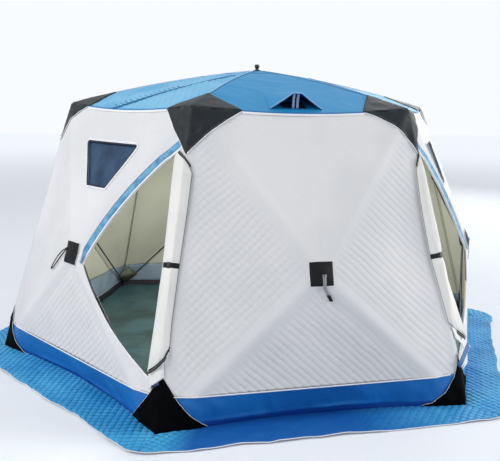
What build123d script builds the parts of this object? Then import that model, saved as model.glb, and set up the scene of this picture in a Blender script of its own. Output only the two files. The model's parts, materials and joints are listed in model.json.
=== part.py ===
import os
from math import asin, atan2, cos, degrees, pi, radians, sin, tan

from build123d import *

os.makedirs("parts", exist_ok=True)

# Plan and heights: six equal walls round the centre, the front wall facing -Y
wall_count = 6
corner_radius = 1800.0
eave_radius = 1288.0
eave_height = 1694.0
peak_height = 1942.0
ridge_arch = 28.0
eave_sag = 53.0
hub_height = 823.0
hub_bulge = 176.0

# Fabric
wall_thickness = 6.0
roof_thickness = 6.0
skirt_thickness = 5.0
mat_thickness = 3.0
patch_thickness = 2.5
clearance = 0.3

# Lower band and the skirt that lies on the ground
band_height = 190.0
band_bow = 90.0
band_end = 190.0
skirt_width = 205.0
skirt_tuck = 12.0
skirt_corner = 150.0

# Door openings, measured up the corner seam and across towards the wall hub
door_bottom = 265.0
door_top = 1530.0
door_seam_gap = 45.0
door_tip_up = 890.0
door_tip_across = 668.0
door_upper_bulge = 52.0
door_lower_bulge = 22.0
door_tip_radius = 45.0
trim_width = 62.0

# Rolled door flaps
roll_bottom = 325.0
roll_top = 1420.0
roll_width = 92.0
roll_depth = 54.0
roll_shift = 15.0
roll_stand_off = 17.0
roll_taper = 160.0
roll_end_share = 0.6
tie_height = 880.0
tie_width = 28.0
tie_thickness = 2.5

# Windows, measured up the upper panel from the wall hub
window_bottom = 430.0
window_top = 705.0
window_bottom_width = 200.0
window_top_width = 540.0
window_corner = 18.0
pane_thickness = 2.0
border_width = 25.0
border_lap = 6.0

# Poles, hubs and sockets
rod_diameter = 11.0
rod_gap = 12.0
hub_radius = 42.0
hub_depth = 40.0
hub_chamfer = 6.0
hub_bore_depth = 16.0
socket_radius = 22.0
socket_height = 34.0
socket_chamfer = 4.0
eave_socket_inset = 36.0
eave_socket_drop = 24.0
roof_hole = 24.0
roof_shoulder = 170.0
roof_middle = 600.0
cap_radius = 30.0
cap_flange = 4.0
cap_stem_radius = 9.0
cap_neck_radius = 12.0
knob_radius = 18.0
knob_height = 26.0
cap_height = 44.0

# Reinforcement patches
hub_patch_size = 132.0
eave_patch_along = 250.0
eave_patch_down = 262.0
eave_patch_up_ridge = 360.0
eave_patch_hollow = 38.0
base_patch_along = 255.0
base_patch_up = 305.0
base_patch_hollow = 40.0

# Pull strap at each wall hub
strap_width = 24.0
strap_thickness = 3.0
strap_length = 165.0
strap_stand_off = 14.0
strap_lean = 28.0

# Roof vent
vent_width = 292.0
vent_back_width = 190.0
vent_peak_width = 46.0
vent_rise = 86.0
vent_back_rise = 12.0
vent_length = 300.0
vent_mouth = 62.0
vent_shift = -31.0
vent_fabric = 3.0
vent_hole_width = 150.0
vent_hole_start = 45.0
vent_hole_length = 120.0
mesh_thickness = 1.5
strut_width = 14.0
strut_gap = 8.0
strut_thickness = 2.5
strut_setback = 14.0

# Points of the front wall: base corner, eave corner and hub, on its right-hand side
half_turn = pi / wall_count
wall_turn = 360.0 / wall_count
base_corner = Vector(corner_radius * sin(half_turn), -corner_radius * cos(half_turn), 0)
eave_corner = Vector(eave_radius * sin(half_turn), -eave_radius * cos(half_turn), eave_height)
flat_reach = -(base_corner + (eave_corner - base_corner) * (hub_height / eave_height)).Y
hub_reach = flat_reach + hub_bulge
hub_point = Vector(0, -hub_reach, hub_height)


def meeting(first, second, height):
    """The point at a height on the line where two planes meet."""
    one, two = first.z_dir, second.z_dir
    reach_one = one.dot(first.origin) - one.Z * height
    reach_two = two.dot(second.origin) - two.Z * height
    spread = one.X * two.Y - one.Y * two.X
    return Vector(
        (reach_one * two.Y - reach_two * one.Y) / spread,
        (one.X * reach_two - two.X * reach_one) / spread,
        height,
    )


def left_of(point):
    """The same point on the left-hand side of the wall."""
    return Vector(-point.X, point.Y, point.Z)


def facing(first, second, third):
    """The plane through three points, its origin at the first and its X towards the second."""
    return Plane(origin=first, x_dir=second - first, z_dir=(second - first).cross(third - first))


def flat(plane, point):
    """A point in a plane's own two coordinates."""
    local = plane.to_local_coords(point)
    return (local.X, local.Y)


# The wall's top corner, lower than the eave by the roof's edge, on the plane between two walls
upper_tilt = atan2(hub_reach + eave_corner.Y, eave_height - hub_height)
roof_slope = atan2(peak_height - eave_height, eave_radius * cos(half_turn))
roof_edge = roof_thickness / sin(pi / 2 + upper_tilt - roof_slope) * cos(upper_tilt)
corner_spread = tan(upper_tilt) / cos(half_turn)
top_corner = Vector(
    (eave_radius + roof_edge * corner_spread) * sin(half_turn),
    -(eave_radius + roof_edge * corner_spread) * cos(half_turn),
    eave_height - roof_edge,
)
upper_plane = Plane(origin=hub_point, x_dir=(1, 0, 0), z_dir=(0, -cos(upper_tilt), sin(upper_tilt)))
lower_plane = facing(left_of(base_corner), base_corner, hub_point)
side_plane = facing(base_corner, top_corner, hub_point)
left_side_plane = facing(left_of(base_corner), hub_point, left_of(top_corner))
seam_length = (top_corner - base_corner).length
wedge_right = Plane(origin=(0, 0, 0), x_dir=(0, 0, 1), z_dir=(cos(half_turn), sin(half_turn), 0))
wedge_left = Plane(origin=(0, 0, 0), x_dir=(0, 0, 1), z_dir=(-cos(half_turn), sin(half_turn), 0))

# A plain wall: four flat panels of fabric that fold along the poles and meet at the hub
with BuildPart() as plain_wall:
    with BuildSketch(upper_plane):
        with BuildLine():
            right_end = flat(upper_plane, top_corner)
            left_end = (-right_end[0], right_end[1])
            ThreePointArc(left_end, (0, right_end[1] - eave_sag), right_end)
            Polyline(right_end, (0, 0), left_end)
        make_face()
    extrude(amount=-wall_thickness)
    with BuildSketch(lower_plane):
        with BuildLine():
            Polyline((0, 0), flat(lower_plane, base_corner), flat(lower_plane, hub_point), close=True)
        make_face()
    extrude(amount=-wall_thickness)
    with BuildSketch(side_plane):
        with BuildLine():
            Polyline((0, 0), (seam_length, 0), flat(side_plane, hub_point), close=True)
        make_face()
    extrude(amount=-wall_thickness)
    with BuildSketch(left_side_plane):
        with BuildLine():
            left_top = flat(left_side_plane, left_of(top_corner))
            Polyline((0, 0), flat(left_side_plane, hub_point), left_top, close=True)
        make_face()
    extrude(amount=-wall_thickness)
    split(bisect_by=wedge_right, keep=Keep.BOTTOM)
    split(bisect_by=wedge_left, keep=Keep.BOTTOM)
    split(bisect_by=Plane.XY.offset(band_height), keep=Keep.TOP)

# The window's outline in the upper panel
with BuildSketch(upper_plane) as window_outline:
    with BuildLine():
        Polyline(
            (-window_bottom_width / 2, window_bottom),
            (window_bottom_width / 2, window_bottom),
            (window_top_width / 2, window_top),
            (-window_top_width / 2, window_top),
            close=True,
        )
    make_face()
    fillet(window_outline.vertices(), radius=window_corner)

with BuildPart() as window_wall:
    add(plain_wall.part)
    with BuildSketch(upper_plane):
        add(window_outline.sketch_local)
    extrude(amount=wall_thickness * 2, both=True, mode=Mode.SUBTRACT)

with BuildPart() as window_pane:
    with BuildSketch(upper_plane):
        add(window_outline.sketch_local)
        offset(amount=-clearance)
    extrude(amount=-pane_thickness)

with BuildPart() as window_border:
    with BuildSketch(upper_plane):
        add(window_outline.sketch_local)
        offset(amount=border_width)
        offset(window_outline.sketch_local, amount=-border_lap, mode=Mode.SUBTRACT)
    extrude(amount=patch_thickness)


def door_outline(reach):
    """The door's outline on the side panel, grown along its upper edge by a reach."""
    top = (door_top + reach, door_seam_gap)
    tip = (door_tip_up + reach * 0.7, door_tip_across + reach * 0.15)
    bottom = (door_bottom, door_seam_gap)
    upper = Vector(tip[0] - top[0], tip[1] - top[1], 0)
    lower = Vector(tip[0] - bottom[0], tip[1] - bottom[1], 0)
    upper_out = Vector(upper.Y, -upper.X, 0).normalized() * door_upper_bulge
    lower_out = Vector(-lower.Y, lower.X, 0).normalized() * door_lower_bulge
    upper_mid = Vector(*top, 0) + upper * 0.5 + upper_out
    lower_mid = Vector(*bottom, 0) + lower * 0.5 + lower_out
    return top, upper_mid, tip, lower_mid, bottom


# The door opening in the side panel beside the corner seam
with BuildSketch(side_plane) as door_hole:
    with BuildLine():
        top, upper_mid, tip, lower_mid, bottom = door_outline(0)
        ThreePointArc(top, (upper_mid.X, upper_mid.Y), tip)
        ThreePointArc(tip, (lower_mid.X, lower_mid.Y), bottom)
        Line(bottom, top)
    make_face()
    fillet(door_hole.vertices().sort_by(Axis((0, 0, 0), side_plane.y_dir))[-1], radius=door_tip_radius)

with BuildPart() as door_wall:
    add(window_wall.part)
    with BuildSketch(side_plane):
        add(door_hole.sketch_local)
    extrude(amount=wall_thickness * 2, both=True, mode=Mode.SUBTRACT)

# The blue trim sewn along the door's upper edge
with BuildPart() as door_trim:
    with BuildSketch(side_plane):
        with BuildLine():
            top, upper_mid, tip, lower_mid, bottom = door_outline(trim_width)
            inner_top, inner_mid, inner_tip, unused_mid, unused_bottom = door_outline(0)
            ThreePointArc(top, (upper_mid.X, upper_mid.Y), tip)
            Line(tip, inner_tip)
            ThreePointArc(inner_tip, (inner_mid.X, inner_mid.Y), inner_top)
            Line(inner_top, top)
        make_face()
        add(door_hole.sketch_local, mode=Mode.SUBTRACT)
    extrude(amount=patch_thickness)

# The rolled door flap that hangs on the corner seam, and its tie
seam = (top_corner - base_corner).normalized()
round_corner = Vector(cos(half_turn), sin(half_turn), 0)
side_lean = asin(abs(side_plane.z_dir.dot(round_corner)))


def across_seam(up):
    """The plane across the corner seam at a distance up it, -Y pointing out of the corner."""
    return Plane(origin=base_corner + seam * up, x_dir=round_corner, z_dir=seam)


with BuildPart() as corner_block:
    with BuildSketch(across_seam(0)):
        with BuildLine():
            nose = -clearance / cos(side_lean)
            flank = roll_width * 2
            Polyline(
                (0, nose),
                (flank, nose + flank * tan(side_lean)),
                (flank, flank * 2),
                (-flank, flank * 2),
                (-flank, nose + flank * tan(side_lean)),
                close=True,
            )
        make_face()
    extrude(amount=seam_length)

with BuildPart() as door_roll:
    with BuildSketch(across_seam(roll_bottom + roll_taper)):
        with Locations((roll_shift, -roll_stand_off)):
            Ellipse(roll_width / 2, roll_depth / 2)
    extrude(amount=roll_top - roll_bottom - 2 * roll_taper)
    for end, start in ((roll_bottom, roll_bottom + roll_taper), (roll_top, roll_top - roll_taper)):
        with BuildSketch(across_seam(start)):
            with Locations((roll_shift, -roll_stand_off)):
                Ellipse(roll_width / 2, roll_depth / 2)
        with BuildSketch(across_seam(end)):
            with Locations((roll_shift, -roll_stand_off * roll_end_share)):
                Ellipse(roll_width / 2 * roll_end_share, roll_depth / 2 * roll_end_share)
        loft()
    add(corner_block.part, mode=Mode.SUBTRACT)

with BuildPart() as door_tie:
    with BuildSketch(across_seam(tie_height)):
        with Locations((roll_shift, -roll_stand_off)):
            inner = clearance
            outer = clearance + tie_thickness
            Ellipse(roll_width / 2 + outer, roll_depth / 2 + outer)
            Ellipse(roll_width / 2 + inner, roll_depth / 2 + inner, mode=Mode.SUBTRACT)
    extrude(amount=tie_width)
    add(corner_block.part, mode=Mode.SUBTRACT)

# The band below the wall: its upper edge follows the wall and its foot bows inwards
foot_level = skirt_thickness
foot_seam = base_corner + (top_corner - base_corner) * (foot_level / (eave_height - roof_edge))


def foot_line(inset):
    """The points of the wall's foot, moved inwards by an inset: corner, bend, middle."""
    corner_run = inset / cos(half_turn)
    corner = Vector(
        foot_seam.X - corner_run * sin(half_turn), foot_seam.Y + corner_run * cos(half_turn), 0
    )
    bend = Vector(foot_seam.X - band_end, foot_seam.Y + band_bow * 0.28 + inset, 0)
    middle = Vector(0, foot_seam.Y + band_bow + inset, 0)
    return corner, bend, middle


def foot_outline(inner, outer):
    """Draws the closed outline between two insets of the wall's foot."""
    corner, bend, middle = foot_line(inner)
    far_corner, far_bend, far_middle = foot_line(outer)
    Line((-far_corner.X, far_corner.Y), (-far_bend.X, far_bend.Y))
    ThreePointArc((-far_bend.X, far_bend.Y), (0, far_middle.Y), (far_bend.X, far_bend.Y))
    Line((far_bend.X, far_bend.Y), (far_corner.X, far_corner.Y))
    Line((far_corner.X, far_corner.Y), (corner.X, corner.Y))
    Line((corner.X, corner.Y), (bend.X, bend.Y))
    ThreePointArc((bend.X, bend.Y), (0, middle.Y), (-bend.X, bend.Y))
    Line((-bend.X, bend.Y), (-corner.X, corner.Y))
    Line((-corner.X, corner.Y), (-far_corner.X, far_corner.Y))


def band_layer(inner, outer):
    """A layer of the band between two distances inside the cloth's outer face."""
    seam_out = meeting(side_plane.offset(-outer), wedge_right, band_height)
    fold_out = meeting(side_plane.offset(-outer), lower_plane.offset(-outer), band_height)
    seam_in = meeting(side_plane.offset(-inner), wedge_right, band_height)
    fold_in = meeting(side_plane.offset(-inner), lower_plane.offset(-inner), band_height)
    with BuildPart() as layer:
        with BuildSketch(Plane.XY.offset(band_height)):
            with BuildLine():
                Polyline(
                    (-seam_out.X, seam_out.Y),
                    (-fold_out.X, fold_out.Y),
                    (fold_out.X, fold_out.Y),
                    (seam_out.X, seam_out.Y),
                    (seam_in.X, seam_in.Y),
                    (fold_in.X, fold_in.Y),
                    (-fold_in.X, fold_in.Y),
                    (-seam_in.X, seam_in.Y),
                    close=True,
                )
            make_face()
        with BuildSketch(Plane.XY.offset(foot_level)):
            with BuildLine():
                foot_outline(inner, outer)
            make_face()
        loft(ruled=True)
    return layer.part


plain_band = band_layer(wall_thickness, 0)

# The skirt flap on the ground, from under the band outwards, with rounded corners
skirt_reach = -foot_seam.Y + skirt_width
with BuildPart() as plain_skirt:
    with BuildSketch():
        with BuildLine():
            corner, bend, middle = foot_line(wall_thickness + skirt_tuck)
            skirt_corner_x = skirt_reach * tan(half_turn)
            round_run = skirt_corner * tan(half_turn)
            start = (skirt_corner_x - round_run, -skirt_reach)
            round_centre = Vector(start[0], -skirt_reach + skirt_corner)
            end = round_centre + Vector(skirt_corner * sin(half_turn), -skirt_corner * cos(half_turn))
            way = round_centre + Vector(
                skirt_corner * sin(half_turn / 2), -skirt_corner * cos(half_turn / 2)
            )
            Line((-start[0], start[1]), start)
            ThreePointArc(start, (way.X, way.Y), (end.X, end.Y))
            Line((end.X, end.Y), (corner.X, corner.Y))
            Line((corner.X, corner.Y), (bend.X, bend.Y))
            ThreePointArc((bend.X, bend.Y), (0, middle.Y), (-bend.X, bend.Y))
            Line((-bend.X, bend.Y), (-corner.X, corner.Y))
            Line((-corner.X, corner.Y), (-end.X, end.Y))
            ThreePointArc((-end.X, end.Y), (-way.X, way.Y), (-start[0], start[1]))
        make_face()
    extrude(amount=skirt_thickness)

# The floor mat inside the skirt's inner edge
mat_edge = wall_thickness + skirt_tuck + clearance
with BuildPart() as floor_mat:
    with BuildSketch() as mat_sector:
        with BuildLine():
            corner, bend, middle = foot_line(mat_edge)
            Line((0, 0), (-corner.X, corner.Y))
            Line((-corner.X, corner.Y), (-bend.X, bend.Y))
            ThreePointArc((-bend.X, bend.Y), (0, middle.Y), (bend.X, bend.Y))
            Line((bend.X, bend.Y), (corner.X, corner.Y))
            Line((corner.X, corner.Y), (0, 0))
        make_face()
    for turn in range(1, wall_count):
        with BuildSketch():
            add(mat_sector.sketch, rotation=turn * wall_turn)
    extrude(amount=mat_thickness)

# A roof panel: its ridges arch over the poles and its eave sags between the corners
def ridge_height(radius):
    """The height of a ridge at a distance from the centre."""
    share = radius / eave_radius
    return peak_height - (peak_height - eave_height) * share + ridge_arch * 4 * share * (1 - share)


def across_panel(reach):
    """A roof panel's section at a distance from the centre: half its width, ridge and middle heights."""
    radius = reach / cos(half_turn)
    sag = eave_sag * (radius / eave_radius) ** 2
    return reach * tan(half_turn), ridge_height(radius), ridge_height(radius) - sag


rim_depth = roof_thickness / cos(roof_slope)


def eave_end(drop):
    """The end of the eave on the plane between two walls, at a drop below the eave corner."""
    radius = eave_radius + drop * corner_spread
    point = Vector(radius * sin(half_turn), -radius * cos(half_turn), eave_height - drop)
    return flat(upper_plane, point)


def eave_section(top_lift, low_lift):
    """The sagging strip at the eave, between two lifts above the roof's outer face."""
    top = eave_end(-top_lift * roof_edge / rim_depth)
    low = eave_end(-low_lift * roof_edge / rim_depth)
    with BuildSketch(upper_plane) as strip:
        with BuildLine():
            ThreePointArc((-top[0], top[1]), (0, top[1] - eave_sag), top)
            Line(top, low)
            ThreePointArc(low, (0, low[1] - eave_sag), (-low[0], low[1]))
            Line((-low[0], low[1]), (-top[0], top[1]))
        make_face()
    return strip.sketch


def roof_section(reach, top_lift, low_lift):
    """The strip across the panel at a distance from the centre, between two lifts."""
    half, ridge, middle = across_panel(reach)
    with BuildSketch(Plane(origin=(0, -reach, 0), x_dir=(1, 0, 0), z_dir=(0, -1, 0))) as strip:
        with BuildLine():
            ThreePointArc((-half, ridge + top_lift), (0, middle + top_lift), (half, ridge + top_lift))
            Line((half, ridge + top_lift), (half, ridge + low_lift))
            ThreePointArc((half, ridge + low_lift), (0, middle + low_lift), (-half, ridge + low_lift))
            Line((-half, ridge + low_lift), (-half, ridge + top_lift))
        make_face()
    return strip.sketch


def roof_layer(top_lift, low_lift):
    """A layer over one roof panel, between two lifts above its outer face."""
    sections = [eave_section(top_lift, low_lift)]
    for reach in (roof_middle, roof_shoulder, roof_hole):
        sections.append(roof_section(reach, top_lift, low_lift))
    with BuildPart() as layer:
        loft(sections, ruled=True)
    return layer.part


plain_roof = roof_layer(0, -rim_depth)

# The shell's planes moved outwards, which trim a patch that wraps the hub
shell_planes = (upper_plane, lower_plane, side_plane, left_side_plane)

# A hub: a puck just inside the fabric with a bore for each pole
hub_out = (upper_plane.z_dir + lower_plane.z_dir).normalized()
steepest = radians(max(plane.z_dir.get_angle(hub_out) for plane in shell_planes))
hub_inset = (wall_thickness + clearance) / cos(steepest) + hub_radius * tan(steepest)
hub_centre = hub_point - hub_out * (hub_inset + hub_depth / 2)
mat_corner, mat_bend, mat_middle = foot_line(mat_edge)
mat_lean = atan2(mat_bend.Y - mat_corner.Y, mat_corner.X - mat_bend.X)
socket_inset = socket_radius / sin(pi / 2 - half_turn - mat_lean) + clearance
socket_point = Vector(
    mat_corner.X - socket_inset * sin(half_turn),
    mat_corner.Y + socket_inset * cos(half_turn),
    mat_thickness + socket_height / 2,
)
eave_socket_point = Vector(
    (eave_radius - eave_socket_inset) * sin(half_turn),
    -(eave_radius - eave_socket_inset) * cos(half_turn),
    eave_height - eave_socket_drop,
)
rod_ends = (
    socket_point,
    left_of(socket_point),
    eave_socket_point,
    left_of(eave_socket_point),
)
hub_grip = hub_radius - hub_bore_depth
socket_grip = rod_gap


def pole(start, end, radius, start_gap, end_gap):
    """A straight pole between two points, short of each by its gap."""
    way = (end - start).normalized()
    length = (end - start).length - start_gap - end_gap
    with BuildPart() as rod:
        with BuildSketch(Plane(origin=start + way * start_gap, z_dir=way)):
            Circle(radius)
        extrude(amount=length)
    return rod.part


rim_height = across_panel(roof_hole)[1]
rim_fall = (across_panel(roof_hole)[2] - across_panel(roof_shoulder)[2]) / (roof_shoulder - roof_hole)
hub_top = across_panel(roof_hole)[2] - (hub_radius - roof_hole) * rim_fall - rim_depth - clearance
roof_hub_height = hub_top - hub_depth / 2
roof_hub_centre = Vector(0, 0, roof_hub_height)


def bowed_pole(radius, start_gap, end_gap):
    """A roof pole, which arches under the ridge from the roof hub to the eave socket."""
    run = eave_socket_point - roof_hub_centre
    middle = roof_hub_centre + run * 0.5 + Vector(0, 0, ridge_arch)
    with BuildLine():
        whole = ThreePointArc(roof_hub_centre, middle, eave_socket_point)
    start = whole @ (start_gap / whole.length)
    end = whole @ (1 - end_gap / whole.length)
    with BuildPart() as rod:
        with BuildLine():
            path = ThreePointArc(start, whole @ 0.5, end)
        with BuildSketch(Plane(origin=start, z_dir=path % 0)):
            Circle(radius)
        sweep(path=path)
    return rod.part


rod_radius = rod_diameter / 2
wall_pole_parts = [pole(hub_centre, end, rod_radius, hub_grip, socket_grip) for end in rod_ends]
roof_pole_part = bowed_pole(rod_radius, hub_grip, socket_grip)

with BuildPart() as wall_rods:
    for turn in range(wall_count):
        add(wall_pole_parts, rotation=(0, 0, turn * wall_turn))

with BuildPart() as roof_rods:
    for turn in range(wall_count):
        add(roof_pole_part, rotation=(0, 0, turn * wall_turn))

bore_radius = rod_radius + clearance
wall_bores = [pole(hub_centre, end, bore_radius, hub_grip - 1, socket_grip - 1) for end in rod_ends]
roof_bore = bowed_pole(bore_radius, hub_grip - 1, socket_grip - 1)

with BuildPart() as plain_hub:
    with BuildSketch(Plane(origin=hub_point - hub_out * hub_inset, z_dir=-hub_out)):
        Circle(hub_radius)
    extrude(amount=hub_depth)
    chamfer(plain_hub.edges().filter_by(GeomType.CIRCLE).sort_by(Axis.Y)[-1], length=hub_chamfer)
    add(wall_bores, mode=Mode.SUBTRACT)

with BuildPart() as wall_hubs:
    for turn in range(wall_count):
        add(plain_hub.part, rotation=(0, 0, turn * wall_turn))

with BuildPart() as roof_hub:
    with BuildSketch(Plane.XY.offset(roof_hub_height - hub_depth / 2)):
        Circle(hub_radius)
    extrude(amount=hub_depth)
    chamfer(roof_hub.edges().filter_by(GeomType.CIRCLE).sort_by(Axis.Z)[0], length=hub_chamfer)
    for turn in range(wall_count):
        add(roof_bore, rotation=(0, 0, turn * wall_turn), mode=Mode.SUBTRACT)

# Sockets at the corners hold the poles of the two walls beside them, and of the roof
next_wall = (0, 0, wall_turn)
with BuildPart() as base_socket:
    with BuildSketch(Plane.XY.offset(mat_thickness)):
        with Locations((socket_point.X, socket_point.Y)):
            Circle(socket_radius)
    extrude(amount=socket_height)
    chamfer(base_socket.edges().filter_by(GeomType.CIRCLE).sort_by(Axis.Z)[-1], length=socket_chamfer)
    add(wall_bores[0], mode=Mode.SUBTRACT)
    add(wall_bores[1], rotation=next_wall, mode=Mode.SUBTRACT)

with BuildPart() as eave_socket:
    with BuildSketch(Plane.XY.offset(eave_socket_point.Z - socket_height / 2)):
        with Locations((eave_socket_point.X, eave_socket_point.Y)):
            Circle(socket_radius)
    extrude(amount=socket_height)
    chamfer(eave_socket.edges().filter_by(GeomType.CIRCLE).sort_by(Axis.Z)[0], length=socket_chamfer)
    add(wall_bores[2], mode=Mode.SUBTRACT)
    add(wall_bores[3], rotation=next_wall, mode=Mode.SUBTRACT)
    add(roof_bore, mode=Mode.SUBTRACT)

with BuildPart() as corner_sockets:
    for turn in range(wall_count):
        add(base_socket.part, rotation=(0, 0, turn * wall_turn))
        add(eave_socket.part, rotation=(0, 0, turn * wall_turn))

# The patch that covers each hub, trimmed to follow the four panels that meet there
hub_front = Plane(origin=hub_point + hub_out * hub_patch_size / 2, x_dir=(1, 0, 0), z_dir=hub_out)
with BuildPart() as hub_core:
    with BuildSketch(hub_front):
        Rectangle(hub_patch_size, hub_patch_size)
    extrude(amount=-hub_patch_size * 1.5)
    for plane in shell_planes:
        split(bisect_by=plane, keep=Keep.BOTTOM)

with BuildPart() as hub_patch:
    with BuildSketch(hub_front):
        Rectangle(hub_patch_size, hub_patch_size)
    extrude(amount=-hub_patch_size * 1.5)
    for plane in shell_planes:
        split(bisect_by=plane.offset(patch_thickness), keep=Keep.BOTTOM)
    add(hub_core.part, mode=Mode.SUBTRACT)

with BuildPart() as hub_patches:
    for turn in range(wall_count):
        add(hub_patch.part, rotation=(0, 0, turn * wall_turn))

# Patches over the eave corners: each wraps the two walls, and a second piece the two roof panels
corner_out = Vector(sin(half_turn), -cos(half_turn), 0)


def turned(plane):
    """The same plane on the next wall round the centre."""
    return Plane(
        origin=plane.origin.rotate(Axis.Z, wall_turn),
        x_dir=plane.x_dir.rotate(Axis.Z, wall_turn),
        z_dir=plane.z_dir.rotate(Axis.Z, wall_turn),
    )


corner_planes = (side_plane, turned(left_side_plane))
eave_planes = corner_planes + (upper_plane, turned(upper_plane))
foot_planes = corner_planes + (lower_plane, turned(lower_plane))
view_in = Plane(origin=(0, 0, 0), x_dir=round_corner, z_dir=corner_out)


def concave(start, end, hollow):
    """An arc from one point to another that bends to the right by the hollow."""
    run = Vector(end[0] - start[0], end[1] - start[1], 0)
    side = Vector(run.Y, -run.X, 0).normalized() * hollow
    middle = Vector(*start, 0) + run * 0.5 + side
    return ThreePointArc(start, (middle.X, middle.Y), end)


patch_half = eave_patch_along * cos(half_turn)
patch_drop = eave_sag * (1 - (1 - eave_patch_along / eave_corner.X) ** 2)
patch_top = eave_height - patch_thickness
patch_side = patch_top - patch_drop
patch_tip = eave_height - eave_patch_down * seam.Z


def eave_block():
    """The block behind the patch's outline, seen square on to the corner."""
    with BuildPart() as block:
        with BuildSketch(view_in.offset(eave_radius * 0.8)):
            with BuildLine():
                Line((0, patch_top), (-patch_half, patch_side))
                concave((-patch_half, patch_side), (0, patch_tip), -eave_patch_hollow)
                concave((0, patch_tip), (patch_half, patch_side), -eave_patch_hollow)
                Line((patch_half, patch_side), (0, patch_top))
            make_face()
        extrude(amount=eave_radius * 0.3)
    return block.part


with BuildPart() as eave_core:
    add(eave_block())
    for plane in eave_planes:
        split(bisect_by=plane, keep=Keep.BOTTOM)

with BuildPart() as eave_wall_patch:
    add(eave_block())
    for plane in eave_planes:
        split(bisect_by=plane.offset(patch_thickness), keep=Keep.BOTTOM)
    add(eave_core.part, mode=Mode.SUBTRACT)


def roof_skin(lift):
    """A layer over the roof panels of this wall and the next."""
    layer = roof_layer(lift, 0)
    with BuildPart() as skin:
        add(layer)
        add(layer, rotation=next_wall)
    return skin.part


with BuildPart() as eave_roof_patch:
    with BuildSketch(Plane.XY.offset(eave_height - eave_sag * 2)):
        with BuildLine():
            tip_radius = eave_radius - eave_patch_up_ridge * cos(roof_slope)
            corner = Vector(eave_corner.X, eave_corner.Y)
            along = Vector(-eave_patch_along, 0)
            near = corner + along
            far = corner + Vector(-along.X, 0).rotate(Axis.Z, wall_turn)
            out = Vector(0, -eave_patch_along)
            far_out = far + out.rotate(Axis.Z, wall_turn)
            near_out = near + out
            corner_end = corner + corner_out * eave_patch_along
            tip_point = corner_out * tip_radius
            points = (tip_point, near, near_out, corner_end, far_out, far)
            Polyline(*((point.X, point.Y) for point in points), close=True)
        make_face()
    extrude(amount=peak_height - eave_height + eave_sag * 3)
    add(roof_skin(patch_thickness), mode=Mode.INTERSECT)

with BuildPart() as eave_corner_patches:
    for turn in range(wall_count):
        add(eave_wall_patch.part, rotation=(0, 0, turn * wall_turn))
        add(eave_roof_patch.part, rotation=(0, 0, turn * wall_turn))

# Patches over the base corners, from the ground up the corner seam
foot_half = base_patch_along * cos(half_turn)


def foot_block():
    """The block behind the patch's outline, seen square on to the corner."""
    with BuildPart() as block:
        with BuildSketch(view_in.offset(corner_radius * 0.8)):
            with BuildLine():
                Line((-foot_half, foot_level), (foot_half, foot_level))
                concave((foot_half, foot_level), (0, base_patch_up), -base_patch_hollow)
                concave((0, base_patch_up), (-foot_half, foot_level), -base_patch_hollow)
            make_face()
        extrude(amount=corner_radius * 0.25)
    return block.part


above_band = Plane.XY.offset(band_height)
with BuildPart() as foot_core:
    add(foot_block())
    for plane in foot_planes:
        split(bisect_by=plane, keep=Keep.BOTTOM)

with BuildPart() as foot_band_patch:
    band_skin = band_layer(0, -patch_thickness)
    add(band_skin)
    add(band_skin, rotation=next_wall)
    add(foot_block(), mode=Mode.INTERSECT)

with BuildPart() as foot_patch:
    add(foot_block())
    for plane in foot_planes:
        split(bisect_by=plane.offset(patch_thickness), keep=Keep.BOTTOM)
    add(foot_core.part, mode=Mode.SUBTRACT)
    split(bisect_by=above_band, keep=Keep.TOP)
    add(foot_band_patch.part)

with BuildPart() as base_corner_patches:
    for turn in range(wall_count):
        add(foot_patch.part, rotation=(0, 0, turn * wall_turn))

# A pull strap at each hub: a loop of webbing that hangs against the lower panel
strap_plane = Plane(
    origin=hub_point + lower_plane.z_dir * (patch_thickness + clearance),
    x_dir=(1, 0, 0),
    z_dir=lower_plane.z_dir,
)
with BuildPart() as pull_strap:
    with BuildSketch(strap_plane):
        with Locations(Location((0, 0), -90 + strap_lean)):
            with Locations((strap_stand_off + strap_length / 2, 0)):
                SlotOverall(strap_length, strap_width)
                SlotOverall(strap_length - strap_width * 0.7, strap_width * 0.3, mode=Mode.SUBTRACT)
    extrude(amount=strap_thickness)

with BuildPart() as pull_straps:
    for turn in range(wall_count):
        add(pull_strap.part, rotation=(0, 0, turn * wall_turn))

# The cap over the peak, its stem through the hole in the roof down to the hub
stem_foot = roof_hub_height + hub_depth / 2
rim = rim_height + clearance
knob_low = rim + cap_height - knob_height
with BuildPart() as roof_cap:
    with BuildSketch(Plane.XZ):
        with BuildLine():
            Polyline(
                (0, stem_foot),
                (cap_stem_radius, stem_foot),
                (cap_stem_radius, rim),
                (cap_radius, rim),
                (cap_radius, rim + cap_flange),
                (cap_neck_radius, rim + cap_flange * 2),
                (cap_neck_radius, knob_low),
                (knob_radius, knob_low + knob_height * 0.3),
                (knob_radius, knob_low + knob_height * 0.75),
                (knob_radius * 0.6, rim + cap_height),
                (0, rim + cap_height),
                close=True,
            )
        make_face()
    revolve(axis=Axis.Z)

# The vent hood on the front roof panel: a gabled flap propped open at the eave end
foot_up = eave_end(0)[1] - eave_sag
vent_foot = hub_point + upper_plane.y_dir * foot_up
slope_way = (Vector(0, -roof_middle, across_panel(roof_middle)[2]) - vent_foot).normalized()
vent_normal = Vector(1, 0, 0).cross(slope_way)
hood_sink = roof_thickness / 3


def across_roof(up, lift=0.0):
    """The plane across the roof's slope at a distance up it, Y pointing out of the roof."""
    place = vent_foot + slope_way * up + vent_normal * lift + Vector(vent_shift, 0, 0)
    return Plane(origin=place, x_dir=(1, 0, 0), z_dir=-slope_way)


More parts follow.
